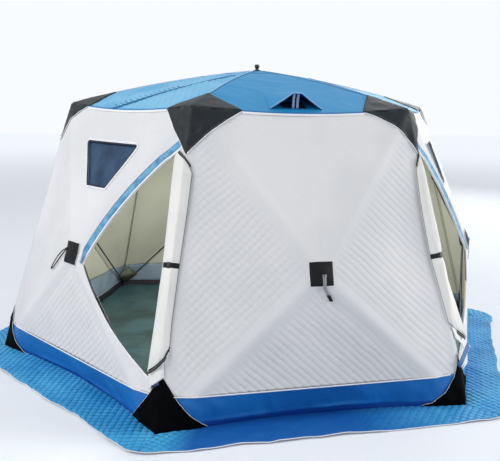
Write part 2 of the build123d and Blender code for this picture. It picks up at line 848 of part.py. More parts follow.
def gable(up, width, peak, rise):
    """The hood's outline across the slope: a gable with a blunt peak, sunk to meet the roof."""
    with BuildSketch(across_roof(up, -hood_sink)) as outline:
        with BuildLine():
            Polyline(
                (-width / 2, 0),
                (width / 2, 0),
                (peak * 0.75, hood_sink + rise * 0.86),
                (peak / 2, hood_sink + rise),
                (-peak / 2, hood_sink + rise),
                (-peak * 0.75, hood_sink + rise * 0.86),
                close=True,
            )
        make_face()
    return outline.sketch


under_roof = roof_layer(0, -rim_depth * 3)
vent_back = vent_mouth + vent_length
thin = vent_fabric
with BuildPart() as vent_hood:
    loft(
        [
            gable(vent_mouth, vent_width, vent_peak_width, vent_rise),
            gable(vent_back, vent_back_width, vent_peak_width, vent_back_rise),
        ],
        ruled=True,
    )
    loft(
        [
            gable(vent_mouth - 1, vent_width - 3 * thin, vent_peak_width - thin / 2, vent_rise - thin),
            gable(
                vent_back - 3 * thin,
                vent_back_width - 3 * thin,
                vent_peak_width - thin / 2,
                vent_back_rise - thin,
            ),
        ],
        ruled=True,
        mode=Mode.SUBTRACT,
    )
    add(under_roof, mode=Mode.SUBTRACT)

# The vent's hole through the roof, and the mesh in it
vent_plane = Plane(
    origin=across_roof(vent_mouth + vent_hole_start + vent_hole_length / 2).origin,
    x_dir=(1, 0, 0),
    z_dir=vent_normal,
)
with BuildPart() as vent_roof:
    add(plain_roof)
    with BuildSketch(vent_plane):
        Rectangle(vent_hole_width, vent_hole_length)
    extrude(amount=roof_thickness * 3, both=True, mode=Mode.SUBTRACT)

with BuildPart() as vent_mesh:
    with BuildSketch(vent_plane.offset(-roof_thickness / 2)):
        Rectangle(vent_hole_width - 2 * clearance, vent_hole_length - 2 * clearance)
    extrude(amount=mesh_thickness)

# Two stiffened tapes that prop the hood open, just inside its mouth
strut_up = vent_mouth + strut_setback
hood_fall = (vent_rise - vent_back_rise) / (vent_length - 3 * thin)
strut_top = vent_rise - thin - (strut_setback + strut_thickness + 1) * hood_fall - clearance
with BuildPart() as vent_struts:
    with BuildSketch(across_roof(strut_up)):
        for side in (-1, 1):
            with Locations((side * (strut_gap + strut_width) / 2, (strut_top - hood_sink) / 2)):
                Rectangle(strut_width, strut_top + hood_sink)
    extrude(amount=-strut_thickness)
    add(under_roof, mode=Mode.SUBTRACT)

# Every piece in its place, the front wall towards -Y and the rest round the centre
side_names = ("front", "right", "back_right", "back", "back_left", "left")
mirrored_door_wall = mirror(door_wall.part, about=Plane.YZ)
wall_parts = (
    plain_wall.part,
    mirrored_door_wall,
    window_wall.part,
    plain_wall.part,
    window_wall.part,
    door_wall.part,
)
for turn, (side, wall_part) in enumerate(zip(side_names, wall_parts)):
    for kind, piece in (
        ("wall", wall_part),
        ("band", plain_band),
        ("skirt", plain_skirt.part),
        ("roof", vent_roof.part if side == "front" else plain_roof),
    ):
        with BuildPart() as placed:
            add(piece, rotation=(0, 0, turn * wall_turn))
        placed.part.label = f"{side}_{kind}"
        export_step(placed.part, f"parts/{side}_{kind}.step")

window_turns = (1, 2, 4, 5)
with BuildPart() as window_panes:
    for turn in window_turns:
        add(window_pane.part, rotation=(0, 0, turn * wall_turn))

with BuildPart() as window_borders:
    for turn in window_turns:
        add(window_border.part, rotation=(0, 0, turn * wall_turn))

left_turn = (0, 0, -wall_turn)
right_turn = (0, 0, wall_turn)
with BuildPart() as left_door_flap:
    add(door_roll.part, rotation=left_turn)

with BuildPart() as right_door_flap:
    add(mirror(door_roll.part, about=Plane.YZ, mode=Mode.PRIVATE), rotation=right_turn)

with BuildPart() as door_trims:
    add(door_trim.part, rotation=left_turn)
    add(mirror(door_trim.part, about=Plane.YZ, mode=Mode.PRIVATE), rotation=right_turn)

with BuildPart() as door_ties:
    add(door_tie.part, rotation=left_turn)
    add(mirror(door_tie.part, about=Plane.YZ, mode=Mode.PRIVATE), rotation=right_turn)

for name, piece in (
    ("window_panes", window_panes),
    ("window_borders", window_borders),
    ("left_door_flap", left_door_flap),
    ("right_door_flap", right_door_flap),
    ("door_trims", door_trims),
    ("door_ties", door_ties),
    ("wall_hubs", wall_hubs),
    ("wall_rods", wall_rods),
    ("roof_rods", roof_rods),
    ("roof_hub", roof_hub),
    ("corner_sockets", corner_sockets),
    ("hub_patches", hub_patches),
    ("roof_cap", roof_cap),
    ("eave_corner_patches", eave_corner_patches),
    ("base_corner_patches", base_corner_patches),
    ("pull_straps", pull_straps),
    ("vent_hood", vent_hood),
    ("vent_mesh", vent_mesh),
    ("vent_struts", vent_struts),
    ("floor_mat", floor_mat),
):
    piece.part.label = name
    export_step(piece.part, f"parts/{name}.step")
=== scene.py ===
"""A six-sided pop-up ice fishing hut: its cloth, seams, doors, windows and poles, in metres."""

import json
from itertools import product
from math import atan2, cos, pi, radians, sin, tan

import bpy
import numpy as np
from mathutils import Matrix, Vector, geometry
from mathutils.bvhtree import BVHTree
from mathutils.kdtree import KDTree

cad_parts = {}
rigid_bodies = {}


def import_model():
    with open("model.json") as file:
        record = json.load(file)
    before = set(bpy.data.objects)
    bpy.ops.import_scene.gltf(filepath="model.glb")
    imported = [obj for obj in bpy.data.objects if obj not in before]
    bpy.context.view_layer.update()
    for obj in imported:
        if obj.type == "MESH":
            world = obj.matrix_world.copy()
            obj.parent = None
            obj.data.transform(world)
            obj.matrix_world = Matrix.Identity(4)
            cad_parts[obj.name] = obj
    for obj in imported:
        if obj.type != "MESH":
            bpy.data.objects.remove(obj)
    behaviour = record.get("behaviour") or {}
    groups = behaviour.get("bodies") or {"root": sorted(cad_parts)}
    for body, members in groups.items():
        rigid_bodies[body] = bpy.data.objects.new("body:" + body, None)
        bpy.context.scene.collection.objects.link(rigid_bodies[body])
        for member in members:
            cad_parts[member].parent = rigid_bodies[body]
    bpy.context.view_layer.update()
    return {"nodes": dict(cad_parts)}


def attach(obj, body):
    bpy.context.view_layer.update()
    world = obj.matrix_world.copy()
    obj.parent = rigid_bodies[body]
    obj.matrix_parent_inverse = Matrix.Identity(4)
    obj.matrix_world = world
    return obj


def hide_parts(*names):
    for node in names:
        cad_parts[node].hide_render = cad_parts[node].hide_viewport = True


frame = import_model()
cad = frame["nodes"]

# Sizes of the hut
SIDES = ("front", "right", "back_right", "back", "back_left", "left")
WITH_WINDOW = ("right", "back_right", "back_left", "left")
CORNER_RADIUS = 1.800
EAVE_RADIUS = 1.288
EAVE_HEIGHT = 1.694
PEAK_HEIGHT = 1.942
RIDGE_ARCH = 0.028
EAVE_SAG = 0.033
HUB_HEIGHT = 0.823
HUB_BULGE = 0.176
BAND_HEIGHT = 0.190
BAND_BOW, BAND_END = 0.090, 0.190
SKIRT_WIDTH, SKIRT_CORNER = 0.205, 0.150
FOOT = 0.005
CLOTH = 0.006
HALF = pi / 6

# How fine the meshes are, and the quilting's rows
WALL_STEP = 0.0125
ROOF_STEP = 0.02
FLOOR_STEP = 0.036
PATCH_STEP = 0.011
WALL_PITCH, ROOF_PITCH, SKIRT_PITCH = (0.050, 0.046), (0.060, 0.055), (0.050, 0.056)

base_corner = np.array((CORNER_RADIUS * sin(HALF), -CORNER_RADIUS * cos(HALF), 0.0))
eave_corner = np.array((EAVE_RADIUS * sin(HALF), -EAVE_RADIUS * cos(HALF), EAVE_HEIGHT))
hub_reach = -(base_corner + (eave_corner - base_corner) * HUB_HEIGHT / EAVE_HEIGHT)[1] + HUB_BULGE
hub = np.array((0.0, -hub_reach, HUB_HEIGHT))
upper_tilt = atan2(hub_reach + eave_corner[1], EAVE_HEIGHT - HUB_HEIGHT)
roof_slope = atan2(PEAK_HEIGHT - EAVE_HEIGHT, EAVE_RADIUS * cos(HALF))
roof_edge = CLOTH / sin(pi / 2 + upper_tilt - roof_slope) * cos(upper_tilt)
top_radius = EAVE_RADIUS + roof_edge * tan(upper_tilt) / cos(HALF)
top_corner = np.array((top_radius * sin(HALF), -top_radius * cos(HALF), EAVE_HEIGHT - roof_edge))
mirror_x = np.array((-1.0, 1.0, 1.0))


# Small sums
def colour(code):
    """A hex colour as the linear values that the shaders take."""
    parts = [int(code[i : i + 2], 16) / 255 for i in (1, 3, 5)]
    return tuple(c / 12.92 if c <= 0.04045 else ((c + 0.055) / 1.055) ** 2.4 for c in parts) + (1.0,)


def unit(vectors):
    """Directions of length 1."""
    vectors = np.asarray(vectors, float)
    return vectors / np.maximum(np.linalg.norm(vectors, axis=-1, keepdims=True), 1e-12)


def ramp(value, width=1.0):
    """0 below 0, 1 above the width, and straight between them."""
    return np.clip(value / width, 0, 1)


def eased(share):
    return share * share * (3 - 2 * share)


def bell(value, width):
    """1 at 0, falling softly to nothing in about two widths."""
    return np.exp(-((value / width) ** 2))


def joined(*parts):
    """Coordinates side by side, with one row for each point."""
    return np.stack([np.ravel(part) for part in np.broadcast_arrays(*parts)], axis=1)


def rough(points, size, seed=0):
    """Smooth random numbers from -1 to 1 at points, one lump for each size."""
    points = np.asarray(points, float) / size + seed * 17.3
    cell = np.floor(points).astype(int)
    share = eased(points - cell)
    key = np.array((12.9898, 78.233, 37.719))[: points.shape[1]]
    total = np.zeros(len(points))
    for corner in product((0, 1), repeat=points.shape[1]):
        value = np.sin((cell + corner) @ key + seed * 4.1) * 43758.5453
        total += (value - np.floor(value)) * np.where(corner, share, 1 - share).prod(axis=1)
    return total * 2 - 1


def turned(points, turn):
    """Points of the front wall, turned round the centre to another wall."""
    angle = turn * pi / 3
    spin = np.array(((cos(angle), sin(angle), 0), (-sin(angle), cos(angle), 0), (0, 0, 1)))
    return np.asarray(points, float) @ spin


def placed_at(points, turn, flipped):
    return turned(points * mirror_x if flipped else points, turn)


# Cloth as fine triangles: an outline is filled in the flat, then put in its place
def along(start, end, step):
    """Points from a start to just before an end, the same whichever way the edge runs."""
    start, end = np.asarray(start, float), np.asarray(end, float)
    count = max(1, round(float(np.linalg.norm(end - start)) / step))
    return [start + (end - start) * i / count for i in range(count)]


def loop_of(corners, step):
    """A closed outline through corners, with a point at every step."""
    ends = [*corners[1:], corners[0]]
    return [point for start, end in zip(corners, ends) for point in along(start, end, step)]


def arc(start, middle, end, step):
    """Points on the circle through three points in the flat, without the last."""
    (ax, ay), (bx, by), (cx, cy) = start, middle, end
    d = 2 * (ax * (by - cy) + bx * (cy - ay) + cx * (ay - by))
    a, b, c = ax * ax + ay * ay, bx * bx + by * by, cx * cx + cy * cy
    ux = (a * (by - cy) + b * (cy - ay) + c * (ay - by)) / d
    uy = (a * (cx - bx) + b * (ax - cx) + c * (bx - ax)) / d
    radius = ((ax - ux) ** 2 + (ay - uy) ** 2) ** 0.5
    first, mid, last = (atan2(y - uy, x - ux) for x, y in (start, middle, end))
    sweep = (last - first) % (2 * pi)
    if (mid - first) % (2 * pi) > sweep:
        sweep -= 2 * pi
    count = max(2, round(abs(sweep) * radius / step))
    angles = [first + sweep * i / count for i in range(count)]
    return [(ux + radius * cos(t), uy + radius * sin(t)) for t in angles]


def concave(start, end, hollow, step):
    """A run of points that bends towards the right of its way by the hollow."""
    run = np.subtract(end, start)
    return arc(start, start + run / 2 + unit((run[1], -run[0])) * hollow, end, step)


def inside(points, loop):
    """Which points lie inside a closed outline."""
    ax, ay = np.asarray(loop, float).T
    bx, by = np.roll(ax, -1), np.roll(ay, -1)
    x, y = points[:, :1], points[:, 1:]
    with np.errstate(divide="ignore", invalid="ignore"):
        cross = x < (bx - ax) * (y - ay) / (by - ay) + ax
    return (((ay > y) != (by > y)) & cross).sum(axis=1) % 2 == 1


def fill(outline, holes, step):
    """Triangles of about one step that fill an outline in the flat, and leave its holes open."""
    loops = [np.asarray(loop, float) for loop in (outline, *holes)]
    middle = loops[0].mean(axis=0)
    reach = np.linalg.norm(loops[0] - middle, axis=1).max()

    def bowed(flat):
        """Bends straight edges slightly outwards, so that no point on one is skipped."""
        rel = flat - middle
        return flat - rel * (0.03 * (rel**2).sum(axis=-1, keepdims=True) / reach**2)

    def within(points, loops):
        return inside(points, loops[0]) & ~np.any([inside(points, hole) for hole in loops[1:]], axis=0)

    low, high = loops[0].min(axis=0), loops[0].max(axis=0)
    rows = enumerate(np.arange(low[1], high[1], step * 0.866))
    grid = [(x, y) for i, y in rows for x in np.arange(low[0] + (i % 2) * step / 2, high[0], step)]
    grid = np.array(grid)
    grid = grid[within(grid, loops)]
    rim = np.concatenate(loops)
    clear = [np.linalg.norm(point - rim, axis=1).min() >= step * 0.55 for point in grid]
    points = np.concatenate([rim, grid[clear]])
    edges, start = [], 0
    for loop in loops:
        edges += [(start + i, start + (i + 1) % len(loop)) for i in range(len(loop))]
        start += len(loop)
    made = geometry.delaunay_2d_cdt([Vector(p) for p in bowed(points)], edges, [], 0, 1e-8)
    flat, faces = np.array([tuple(v) for v in made[0]]), np.array(made[2])
    keep = within(flat[faces].mean(axis=1), [bowed(loop) for loop in loops])
    flat[: len(points)] = points
    return flat, faces[keep]


def grid_faces(rows, columns):
    """Squares between the points of a grid, facing the way that the columns turn to the rows."""
    index = np.arange(rows * columns).reshape(rows, columns)
    a, b, c, d = index[:-1, :-1], index[:-1, 1:], index[1:, 1:], index[1:, :-1]
    return np.stack([a, b, c, d], axis=-1).reshape(-1, 4)


class Plane:
    """A flat panel's own place: an origin, a direction along it, one up it and one out of it."""

    def __init__(self, origin, toward, third):
        self.origin = origin
        self.x = unit(toward - origin)
        self.out = unit(np.cross(self.x, third - origin))
        self.y = np.cross(self.out, self.x)

    def down(self, points):
        points = np.asarray(points) - self.origin
        return np.stack([points @ self.x, points @ self.y], axis=-1)

    def up(self, flat):
        return self.origin + flat[:, :1] * self.x + flat[:, 1:2] * self.y


class Cloth:
    """Panels of cloth that become one mesh: points, faces and numbers at each point."""

    def __init__(self):
        self.points, self.faces, self.marks, self.count = [], [], {}, 0

    def add(self, points, faces, **marks):
        self.points.append(points)
        self.faces.append(faces + self.count)
        self.count += len(points)
        for name, value in marks.items():
            self.marks.setdefault(name, []).append(value)

    def laid(self):
        """The panels as they are."""
        marks = {name: np.concatenate(value) for name, value in self.marks.items()}
        return np.concatenate(self.points), np.concatenate(self.faces), marks

    def sewn(self):
        """The panels, joined where their points meet."""
        points, faces, marks = self.laid()
        tree = KDTree(len(points))
        for i, point in enumerate(points):
            tree.insert(point, i)
        tree.balance()
        owner = [min(i for _, i, _ in tree.find_range(point, 0.0015)) for point in points]
        first, place = np.unique(owner, return_inverse=True)
        faces = place[faces]
        good = (np.roll(faces, -1, axis=1) != faces).all(axis=1)
        marks = {name: np.bincount(place, value) / np.bincount(place) for name, value in marks.items()}
        return points[first], faces[good], marks


def normals_of(points, faces):
    """The direction out of the cloth at each point."""
    a, b, c = (points[faces[:, i]] for i in range(3))
    total = np.zeros_like(points)
    for i in range(3):
        np.add.at(total, faces[:, i], np.cross(b - a, c - a))
    return unit(total)


def softened(points, faces, share, times):
    """Rounds the folds of a cloth where share is above 0, and leaves its edges."""
    sides = np.sort(np.vstack([faces[:, (0, 1)], faces[:, (1, 2)], faces[:, (2, 0)]]), axis=1)
    sides, uses = np.unique(sides, axis=0, return_counts=True)
    share[sides[uses == 1].ravel()] = 0
    count = np.bincount(sides.ravel(), minlength=len(points))[:, None]
    for _ in range(times):
        total = np.zeros_like(points)
        np.add.at(total, sides[:, 0], points[sides[:, 1]])
        np.add.at(total, sides[:, 1], points[sides[:, 0]])
        points = points + (total / np.maximum(count, 1) - points) * (0.7 * share)[:, None]
    return points


# Meshes
def mesh_piece(name, points, faces, finishes, place=None, marks=None, finish_index=None):
    """One piece as a mesh, with its place on the cloth as a UV map and its marks as attributes."""
    mesh = bpy.data.meshes.new(name)
    mesh.from_pydata(np.asarray(points, float).tolist(), [], [tuple(map(int, face)) for face in faces])
    for finish in finishes:
        mesh.materials.append(finish)
    if finish_index is not None:
        mesh.polygons.foreach_set("material_index", np.asarray(finish_index, np.int32))
    if place is not None:
        corner = np.zeros(len(mesh.loops), np.int32)
        mesh.loops.foreach_get("vertex_index", corner)
        uvs = np.asarray(place, np.float32)[corner]
        mesh.uv_layers.new(name="cloth").data.foreach_set("uv", uvs.ravel())
    for key, value in (marks or {}).items():
        mesh.attributes.new(key, "FLOAT", "POINT").data.foreach_set("value", np.asarray(value, np.float32))
    mesh.shade_smooth()
    return in_scene(name, mesh)


def in_scene(name, data):
    piece = bpy.data.objects.new(name, data)
    bpy.context.scene.collection.objects.link(piece)
    return piece


def settled(piece):
    """Turns a piece with its modifiers into a plain mesh."""
    bpy.context.view_layer.update()
    made = bpy.data.meshes.new_from_object(piece.evaluated_get(bpy.context.evaluated_depsgraph_get()))
    piece.modifiers.clear()
    old, piece.data = piece.data, made
    bpy.data.meshes.remove(old)
    return piece


def thickened(piece, thickness, other=0, offset=-1.0):
    """Gives a cloth its thickness, with another finish behind, and makes it a plain mesh."""
    step = piece.modifiers.new("Thickness", "SOLIDIFY")
    step.thickness, step.offset, step.material_offset = thickness, offset, other
    step.use_even_offset = False
    return settled(piece)


def stand_for(piece, slot, *nodes):
    """Puts a finished piece in the place of plain ones."""
    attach(piece, "root")
    if nodes:
        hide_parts(*nodes)
    return piece


def copies_piece(name, parts, finish):
    """Copies of a small cloth as one mesh, each given by its points, faces and places."""
    cloth = Cloth()
    for points, faces, place in parts:
        cloth.add(points, faces, place=place)
    points, faces, marks = cloth.laid()
    return mesh_piece(name, points, faces, (finish,), marks["place"])


def ways_along(path, closed):
    """The direction of a path at each of its points."""
    if closed:
        return unit(np.roll(path, -1, axis=0) - np.roll(path, 1, axis=0))
    return unit(np.gradient(path, axis=0))


def swept(sections, closed=False):
    """Points and faces of sections that follow each other, with the ends shut."""
    rows, columns = sections.shape[:2]
    index = np.arange(rows * columns).reshape(rows, columns)
    here, following = (index, np.roll(index, -1, axis=0)) if closed else (index[:-1], index[1:])
    sides = [here, np.roll(here, -1, axis=1), np.roll(following, -1, axis=1), following]
    faces = [tuple(face) for face in np.stack(sides, axis=-1).reshape(-1, 4)]
    if not closed:
        faces += [tuple(index[0][::-1]), tuple(index[-1])]
    return sections.reshape(-1, 3), faces


def tube(path, radius, sides=6, closed=False):
    """A round edging or thread along points."""
    ahead = ways_along(path, closed)
    normal, normals = np.cross(ahead[0], (0.31, 0.52, 0.79)), []
    for way in ahead:
        normal = unit(normal - way * (normal @ way))
        normals.append(normal)
    normals = np.array(normals)
    turns = np.arange(sides)[:, None] * 2 * pi / sides
    radius = np.broadcast_to(radius, (len(path),))[:, None, None]
    ring = normals[:, None] * np.cos(turns) + np.cross(ahead, normals)[:, None] * np.sin(turns)
    return swept(path[:, None] + ring * radius, closed)


RIBBON_SHAPE = np.array([(-1, 0), (-1, 1), (-0.5, 1), (0, 1), (0.5, 1), (1, 1), (1, 0), (0, 0)], float)
RIBBON_CROWN = np.array([0, 0, 0.7, 1, 0.7, 0, 0, 0])


def ribbon(path, normals, width, thickness, crown=0.0, closed=False):
    """A tape or strap along points, lying flat on the normals."""
    ahead = ways_along(path, closed)
    across = unit(np.cross(ahead, normals))
    up = np.cross(across, ahead)
    width = np.broadcast_to(width, (len(path),))[:, None, None] / 2
    rise = RIBBON_SHAPE[:, 1] * thickness + RIBBON_CROWN * crown
    aside = across[:, None] * RIBBON_SHAPE[:, :1] * width
    return swept(path[:, None] + aside + up[:, None] * rise[:, None], closed)


class Bundle:
    """Many small shapes that become one piece."""

    def __init__(self):
        self.points, self.faces, self.finish, self.count = [], [], [], 0

    def add(self, made, finish=0):
        points, faces = made
        self.points.append(points)
        self.faces += [tuple(i + self.count for i in face) for face in faces]
        self.finish += [finish] * len(faces)
        self.count += len(points)

    def piece(self, name, finishes, slot, *nodes):
        finishes = [FINISHES[finish] for finish in finishes]
        points = np.concatenate(self.points)
        piece = mesh_piece(name, points, self.faces, finishes, finish_index=self.finish)
        return stand_for(piece, slot, *nodes)


# Helpers that wire up node trees
class Wires:
    """Adds nodes to a tree and links what goes into them."""

    def __init__(self, tree):
        self.tree = tree

    def add(self, kind, *inputs, out=0, named=None, **settings):
        node = self.tree.nodes.new(kind)
        for key, value in settings.items():
            setattr(node, key, value)
        for key, value in (*enumerate(inputs), *(named or {}).items()):
            self.put(node.inputs[key], value)
        return node.outputs[out] if out is not None else node

    def put(self, socket, value):
        if isinstance(value, bpy.types.NodeSocket):
            self.tree.links.new(value, socket)
        elif value is not None:
            socket.default_value = value

    def math(self, operation, *inputs):
        return self.add("ShaderNodeMath", *inputs, operation=operation)

    def times(self, *inputs):
        return self.math("MULTIPLY", *inputs)

    def plus(self, *inputs):
        return self.math("ADD", *inputs)

    def xyz(self, value):
        return self.add("ShaderNodeSeparateXYZ", value, out=None).outputs

    def span(self, value, low, high, start=0.0, end=1.0):
        smooth = {"clamp": True, "interpolation_type": "SMOOTHSTEP"}
        return self.add("ShaderNodeMapRange", value, low, high, start, end, **smooth)

    def rows(self, parts, across, up):
        """The waves of two sets of slanted rows, each with the name of its mark."""
        u, v = self.math("DIVIDE", parts[0], across), self.math("DIVIDE", parts[1], up)
        for mark, way in (("falling_rows", "ADD"), ("rising_rows", "SUBTRACT")):
            yield mark, self.math("ABSOLUTE", self.math("SINE", self.times(self.math(way, u, v), pi)))

    def seen(self):
        """1 for what the camera sees, straight, mirrored or through a clear film."""
        rays = self.add("ShaderNodeLightPath", out=None).outputs
        seen = self.math("MAXIMUM", rays["Is Camera Ray"], rays["Is Glossy Ray"])
        return self.math("MAXIMUM", seen, rays["Is Transmission Ray"])


class Finish(Wires):
    """A material: its shader, its colour steps and its bumps."""

    def __init__(self, name, roughness, shine=0.5):
        self.material = bpy.data.materials.new(name)
        self.material.use_nodes = True
        super().__init__(self.material.node_tree)
        self.shader = self.tree.nodes["Principled BSDF"].inputs
        self.shader["Roughness"].default_value = roughness
        self.shader["Specular IOR Level"].default_value = shine
        self.place = self.add("ShaderNodeTexCoord", out="Object")
        self.colour = self.normal = None

    def noise(self, scale, detail=3.0, roughness=0.5, where=None):
        named = {"Scale": scale, "Detail": detail, "Roughness": roughness}
        return self.add("ShaderNodeTexNoise", where or self.place, named=named, out="Fac")

    def mark(self, name):
        return self.add("ShaderNodeAttribute", attribute_name=name, out="Fac")

    def clouds(self, first, second, scale, detail=3.0, roughness=0.5, high=0.7):
        """Two tones that change places in soft clouds."""
        self.colour = colour(first)
        self.tint(second, self.span(self.noise(scale, detail, roughness), 0.35, high))

    def tint(self, tone, share):
        node = self.add("ShaderNodeMix", out=None, data_type="RGBA")
        for i, value in ((0, share), (6, self.colour), (7, colour(tone))):
            self.put(node.inputs[i], value)
        self.colour = node.outputs[2]

    def bump(self, height, distance, strength=1.0):
        named = {"Strength": strength, "Distance": distance, "Height": height, "Normal": self.normal}
        self.normal = self.add("ShaderNodeBump", named=named)

    def row_puffs(self, pitch, depth, seam_shade_tone, seam_shade_share):
        """Padded rows between slanted seams, as strong as the cloth's own marks say, with a painted shade darkening
        the seam grooves.
        """
        parts = self.xyz(self.add("ShaderNodeUVMap", uv_map="cloth"))
        for mark, wave in self.rows(parts, *pitch):
            weight = self.mark(mark)
            self.bump(self.times(self.math("POWER", wave, 0.5), weight), depth)
            # Painted shade: the seam tone is laid in the grooves between the puffs.
            line = self.times(self.span(wave, 0.0, 0.16, 1.0, 0.0), weight)
            self.tint(seam_shade_tone, self.times(line, seam_shade_share))

    def done(self, thread=0.0012):
        """Ends with a plain weave, threads over and under each other."""
        threads = self.add("ShaderNodeVectorMath", self.place, (pi / thread,) * 3, operation="MULTIPLY")
        waves = [self.math("SINE", part) for part in self.xyz(threads)]
        self.bump(self.plus(self.times(waves[0], waves[2]), self.times(waves[1], waves[2])), 0.00012, 0.5)
        self.put(self.shader["Base Color"], self.colour)
        self.put(self.shader["Normal"], self.normal)
        return self.material


def wall_finish(name, tone, shade, seam_shade_tone, depth, sheen=0.0):
    make = Finish(name, 0.62)
    make.shader["Sheen Weight"].default_value = sheen
    make.clouds(tone, shade, 1.7)
    make.bump(make.noise(9.0, 4.0, 0.6), 0.004, 0.35)
    make.bump(make.noise(34.0, 3.0, 0.6), 0.0012, 0.35)
    # patchy sets how strong the painted seam shade is from place to place.
    patchy = make.span(make.noise(3.4, 3.0, 0.6), 0.30, 0.66, 0.25, 1.0)
    make.row_puffs(WALL_PITCH, depth, seam_shade_tone, make.times(patchy, 0.34))
    return make.done()


def skirt_finish(name):
    """Padded diamonds where the cloth is quilted, and a painted shade of deep blue where it lies smooth."""
    make = Finish(name, 0.5, 0.35)
    make.clouds("#44AADF", "#238DCB", 2.3, 4.0, 0.6, 0.68)
    # Painted shade: deep blue over the smooth middle of the front skirt.
    make.tint("#07509E", make.times(make.mark("smooth_cloth"), 0.92))
    make.bump(make.noise(8.0, 4.0, 0.6), 0.010, 0.5)
    # The third value is the painted shade in the seam grooves.
    make.row_puffs(SKIRT_PITCH, 0.006, "#1B649F", 0.75)
    return make.done()


def roof_finish(name):
    """Mid blue as a painted shade on the smooth front panel and the vent flap; paler, as painted light, and padded
    on the quilted panels.
    """
    make = Finish(name, 0.55, 0.3)
    make.clouds("#7ABDE2", "#55A4D4", 2.6, 4.0, 0.6, 0.68)
    # Painted shade: the front panel and the vent flap darker than the other panels of the same cloth.
    make.tint("#1C86BC", make.mark("smooth_cloth"))
    make.bump(make.noise(6.0, 4.0, 0.6), 0.012, 0.45)
    # The third value is the painted shade in the seam grooves.
    make.row_puffs(ROOF_PITCH, 0.003, "#2C7DB4", 0.45)
    return make.done()


def band_finish(name):
    """Coated cloth with a painted shade that darkens it towards its foot, creased along and across."""
    make = Finish(name, 0.42, 0.35)
    make.clouds("#1B78C4", "#1566B2", 2.0)
    # Painted shade: deep navy towards the foot, where the band leans in under the wall.
    make.tint("#1646A4", make.span(make.xyz(make.place)[2], 0.066, 0.008))
    flattened = make.add("ShaderNodeMapping", make.place, None, None, (1.0, 1.0, 0.35))
    make.bump(make.noise(5.0, 4.0, 0.6, flattened), 0.020, 0.6)
    make.bump(make.noise(22.0, 3.0, 0.5), 0.003, 0.4)
    return make.done()


def smooth_cloth(name, tone, shade, roughness=0.55, crumple=0.006, size=2.0, lump=7.0, shine=0.5):
    make = Finish(name, roughness, shine)
    make.clouds(tone, shade, size)
    make.bump(make.noise(lump, 4.0, 0.55), crumple, 0.4)
    return make.done()


# Two tones, roughness, crumple, the sizes of clouds and lumps, and shine
PLAIN_FINISHES = {
    "grey_roof_lining": ("#8F9AA0", "#858F95", 0.7),
    "grey_blue_lining": ("#6E7F8C", "#627380", 0.6),
    "dark_blue_thread": ("#2A74A8", "#235F8E", 0.6, 0.001),
    "deep_blue_hem": ("#2372AE", "#1D68A4", 0.5, 0.002),
    "black_coated_cloth": ("#141D23", "#0C1318", 0.5, 0.014, 2.0, 13.0, 0.25),
    "black_hub_cloth": ("#0E1012", "#090A0C", 0.6, 0.010, 2.0, 7.0, 0.2),
    "black_foot_cloth": ("#040506", "#020303", 0.75, 0.012, 2.0, 7.0, 0.04),
    "dark_green_floor_cloth": ("#2D4A4D", "#1B302F", 0.42, 0.03, 3.2, 5.0),
    "white_edging": ("#EDEFF1", "#E4E6E9", 0.6, 0.002),
    "light_blue_tape": ("#6AA9CB", "#387BA9", 0.55, 0.006, 22.0, 40.0),
    "navy_tape": ("#1D2A57", "#141E42", 0.5, 0.003),
    "blue_strap_tape": ("#256A9F", "#1D5786", 0.55, 0.003, 14.0, 40.0),
    "pale_blue_tape": ("#7DB2DF", "#6BA3D4", 0.5, 0.002),
    "grey_blue_prop": ("#9FB7D8", "#8CA6C9", 0.5, 0.002),
    "olive_gusset_mesh": ("#454C3E", "#2E332B", 0.7, 0.003, 12.0, 60.0),
    "black_webbing": ("#141618", "#0D0F11", 0.6, 0.001, 2.0, 7.0, 0.2),
    "grey_webbing": ("#9DA0A4", "#84878B", 0.6, 0.001),
    "off_white_flap_cloth": ("#E6E6E3", "#DADBD9", 0.6, 0.008),
    "tinted_window_film": ("#2C4866", "#16304F", 0.28, 0.010, 7.0, 4.0, 0.15),
    "dark_window_binding": ("#1A2436", "#131B2A", 0.5, 0.002, 2.0, 7.0, 0.2),
    "black_zip_tape": ("#17191B", "#101214", 0.6, 0.001, 2.0, 7.0, 0.2),
    "grey_zip_teeth": ("#8B8E91", "#6F7275", 0.35, 0.0002, 2.0, 90.0),
    "grey_seam_thread": ("#8D9094", "#7A7D81", 0.7, 0.0005),
    "olive_seam_tape": ("#6B6E58", "#5E614D", 0.7, 0.002),
    # Navy as a painted shade for the dark mouth under the vent flap.
    "navy_painted_shade": ("#163C9A", "#102E80", 0.6),
    "insect_mesh": ("#1A2A48", "#121E36", 0.8),
    "black_nylon": ("#17181A", "#1F2123", 0.35, 0.0005, 2.0, 60.0),
    "black_fibreglass": ("#16171A", "#202226", 0.25, 0.0003, 2.0, 90.0),
}
FINISHES = {name: smooth_cloth(name, *looks) for name, looks in PLAIN_FINISHES.items()}
# The third colour of each wall finish is the painted shade in its seam grooves.
wall_outside = wall_finish("white_quilted_oxford", "#DCDDDF", "#D2D4D7", "#A9ADB3", 0.0032, 0.1)
wall_inside = wall_finish("olive_lining", "#B4B3A4", "#A6A696", "#7C7E68", 0.002)
roof_outside = roof_finish("mid_blue_oxford")
band_outside = band_finish("royal_blue_coated_cloth")
skirt_cloth = skirt_finish("blue_quilted_skirt")


# Groups of geometry nodes
def node_group(name, **inputs):
    """A group that changes one mesh: the group, its wires and what it is given."""
    tree = bpy.data.node_groups.new(name, "GeometryNodeTree")
    tree.interface.new_socket("Made", in_out="OUTPUT", socket_type="NodeSocketGeometry")
    for label, kind in {"Mesh": "Geometry", **inputs}.items():
        tree.interface.new_socket(label, in_out="INPUT", socket_type="NodeSocket" + kind)
    wire = Wires(tree)
    return tree, wire, wire.add("NodeGroupInput", out=None).outputs


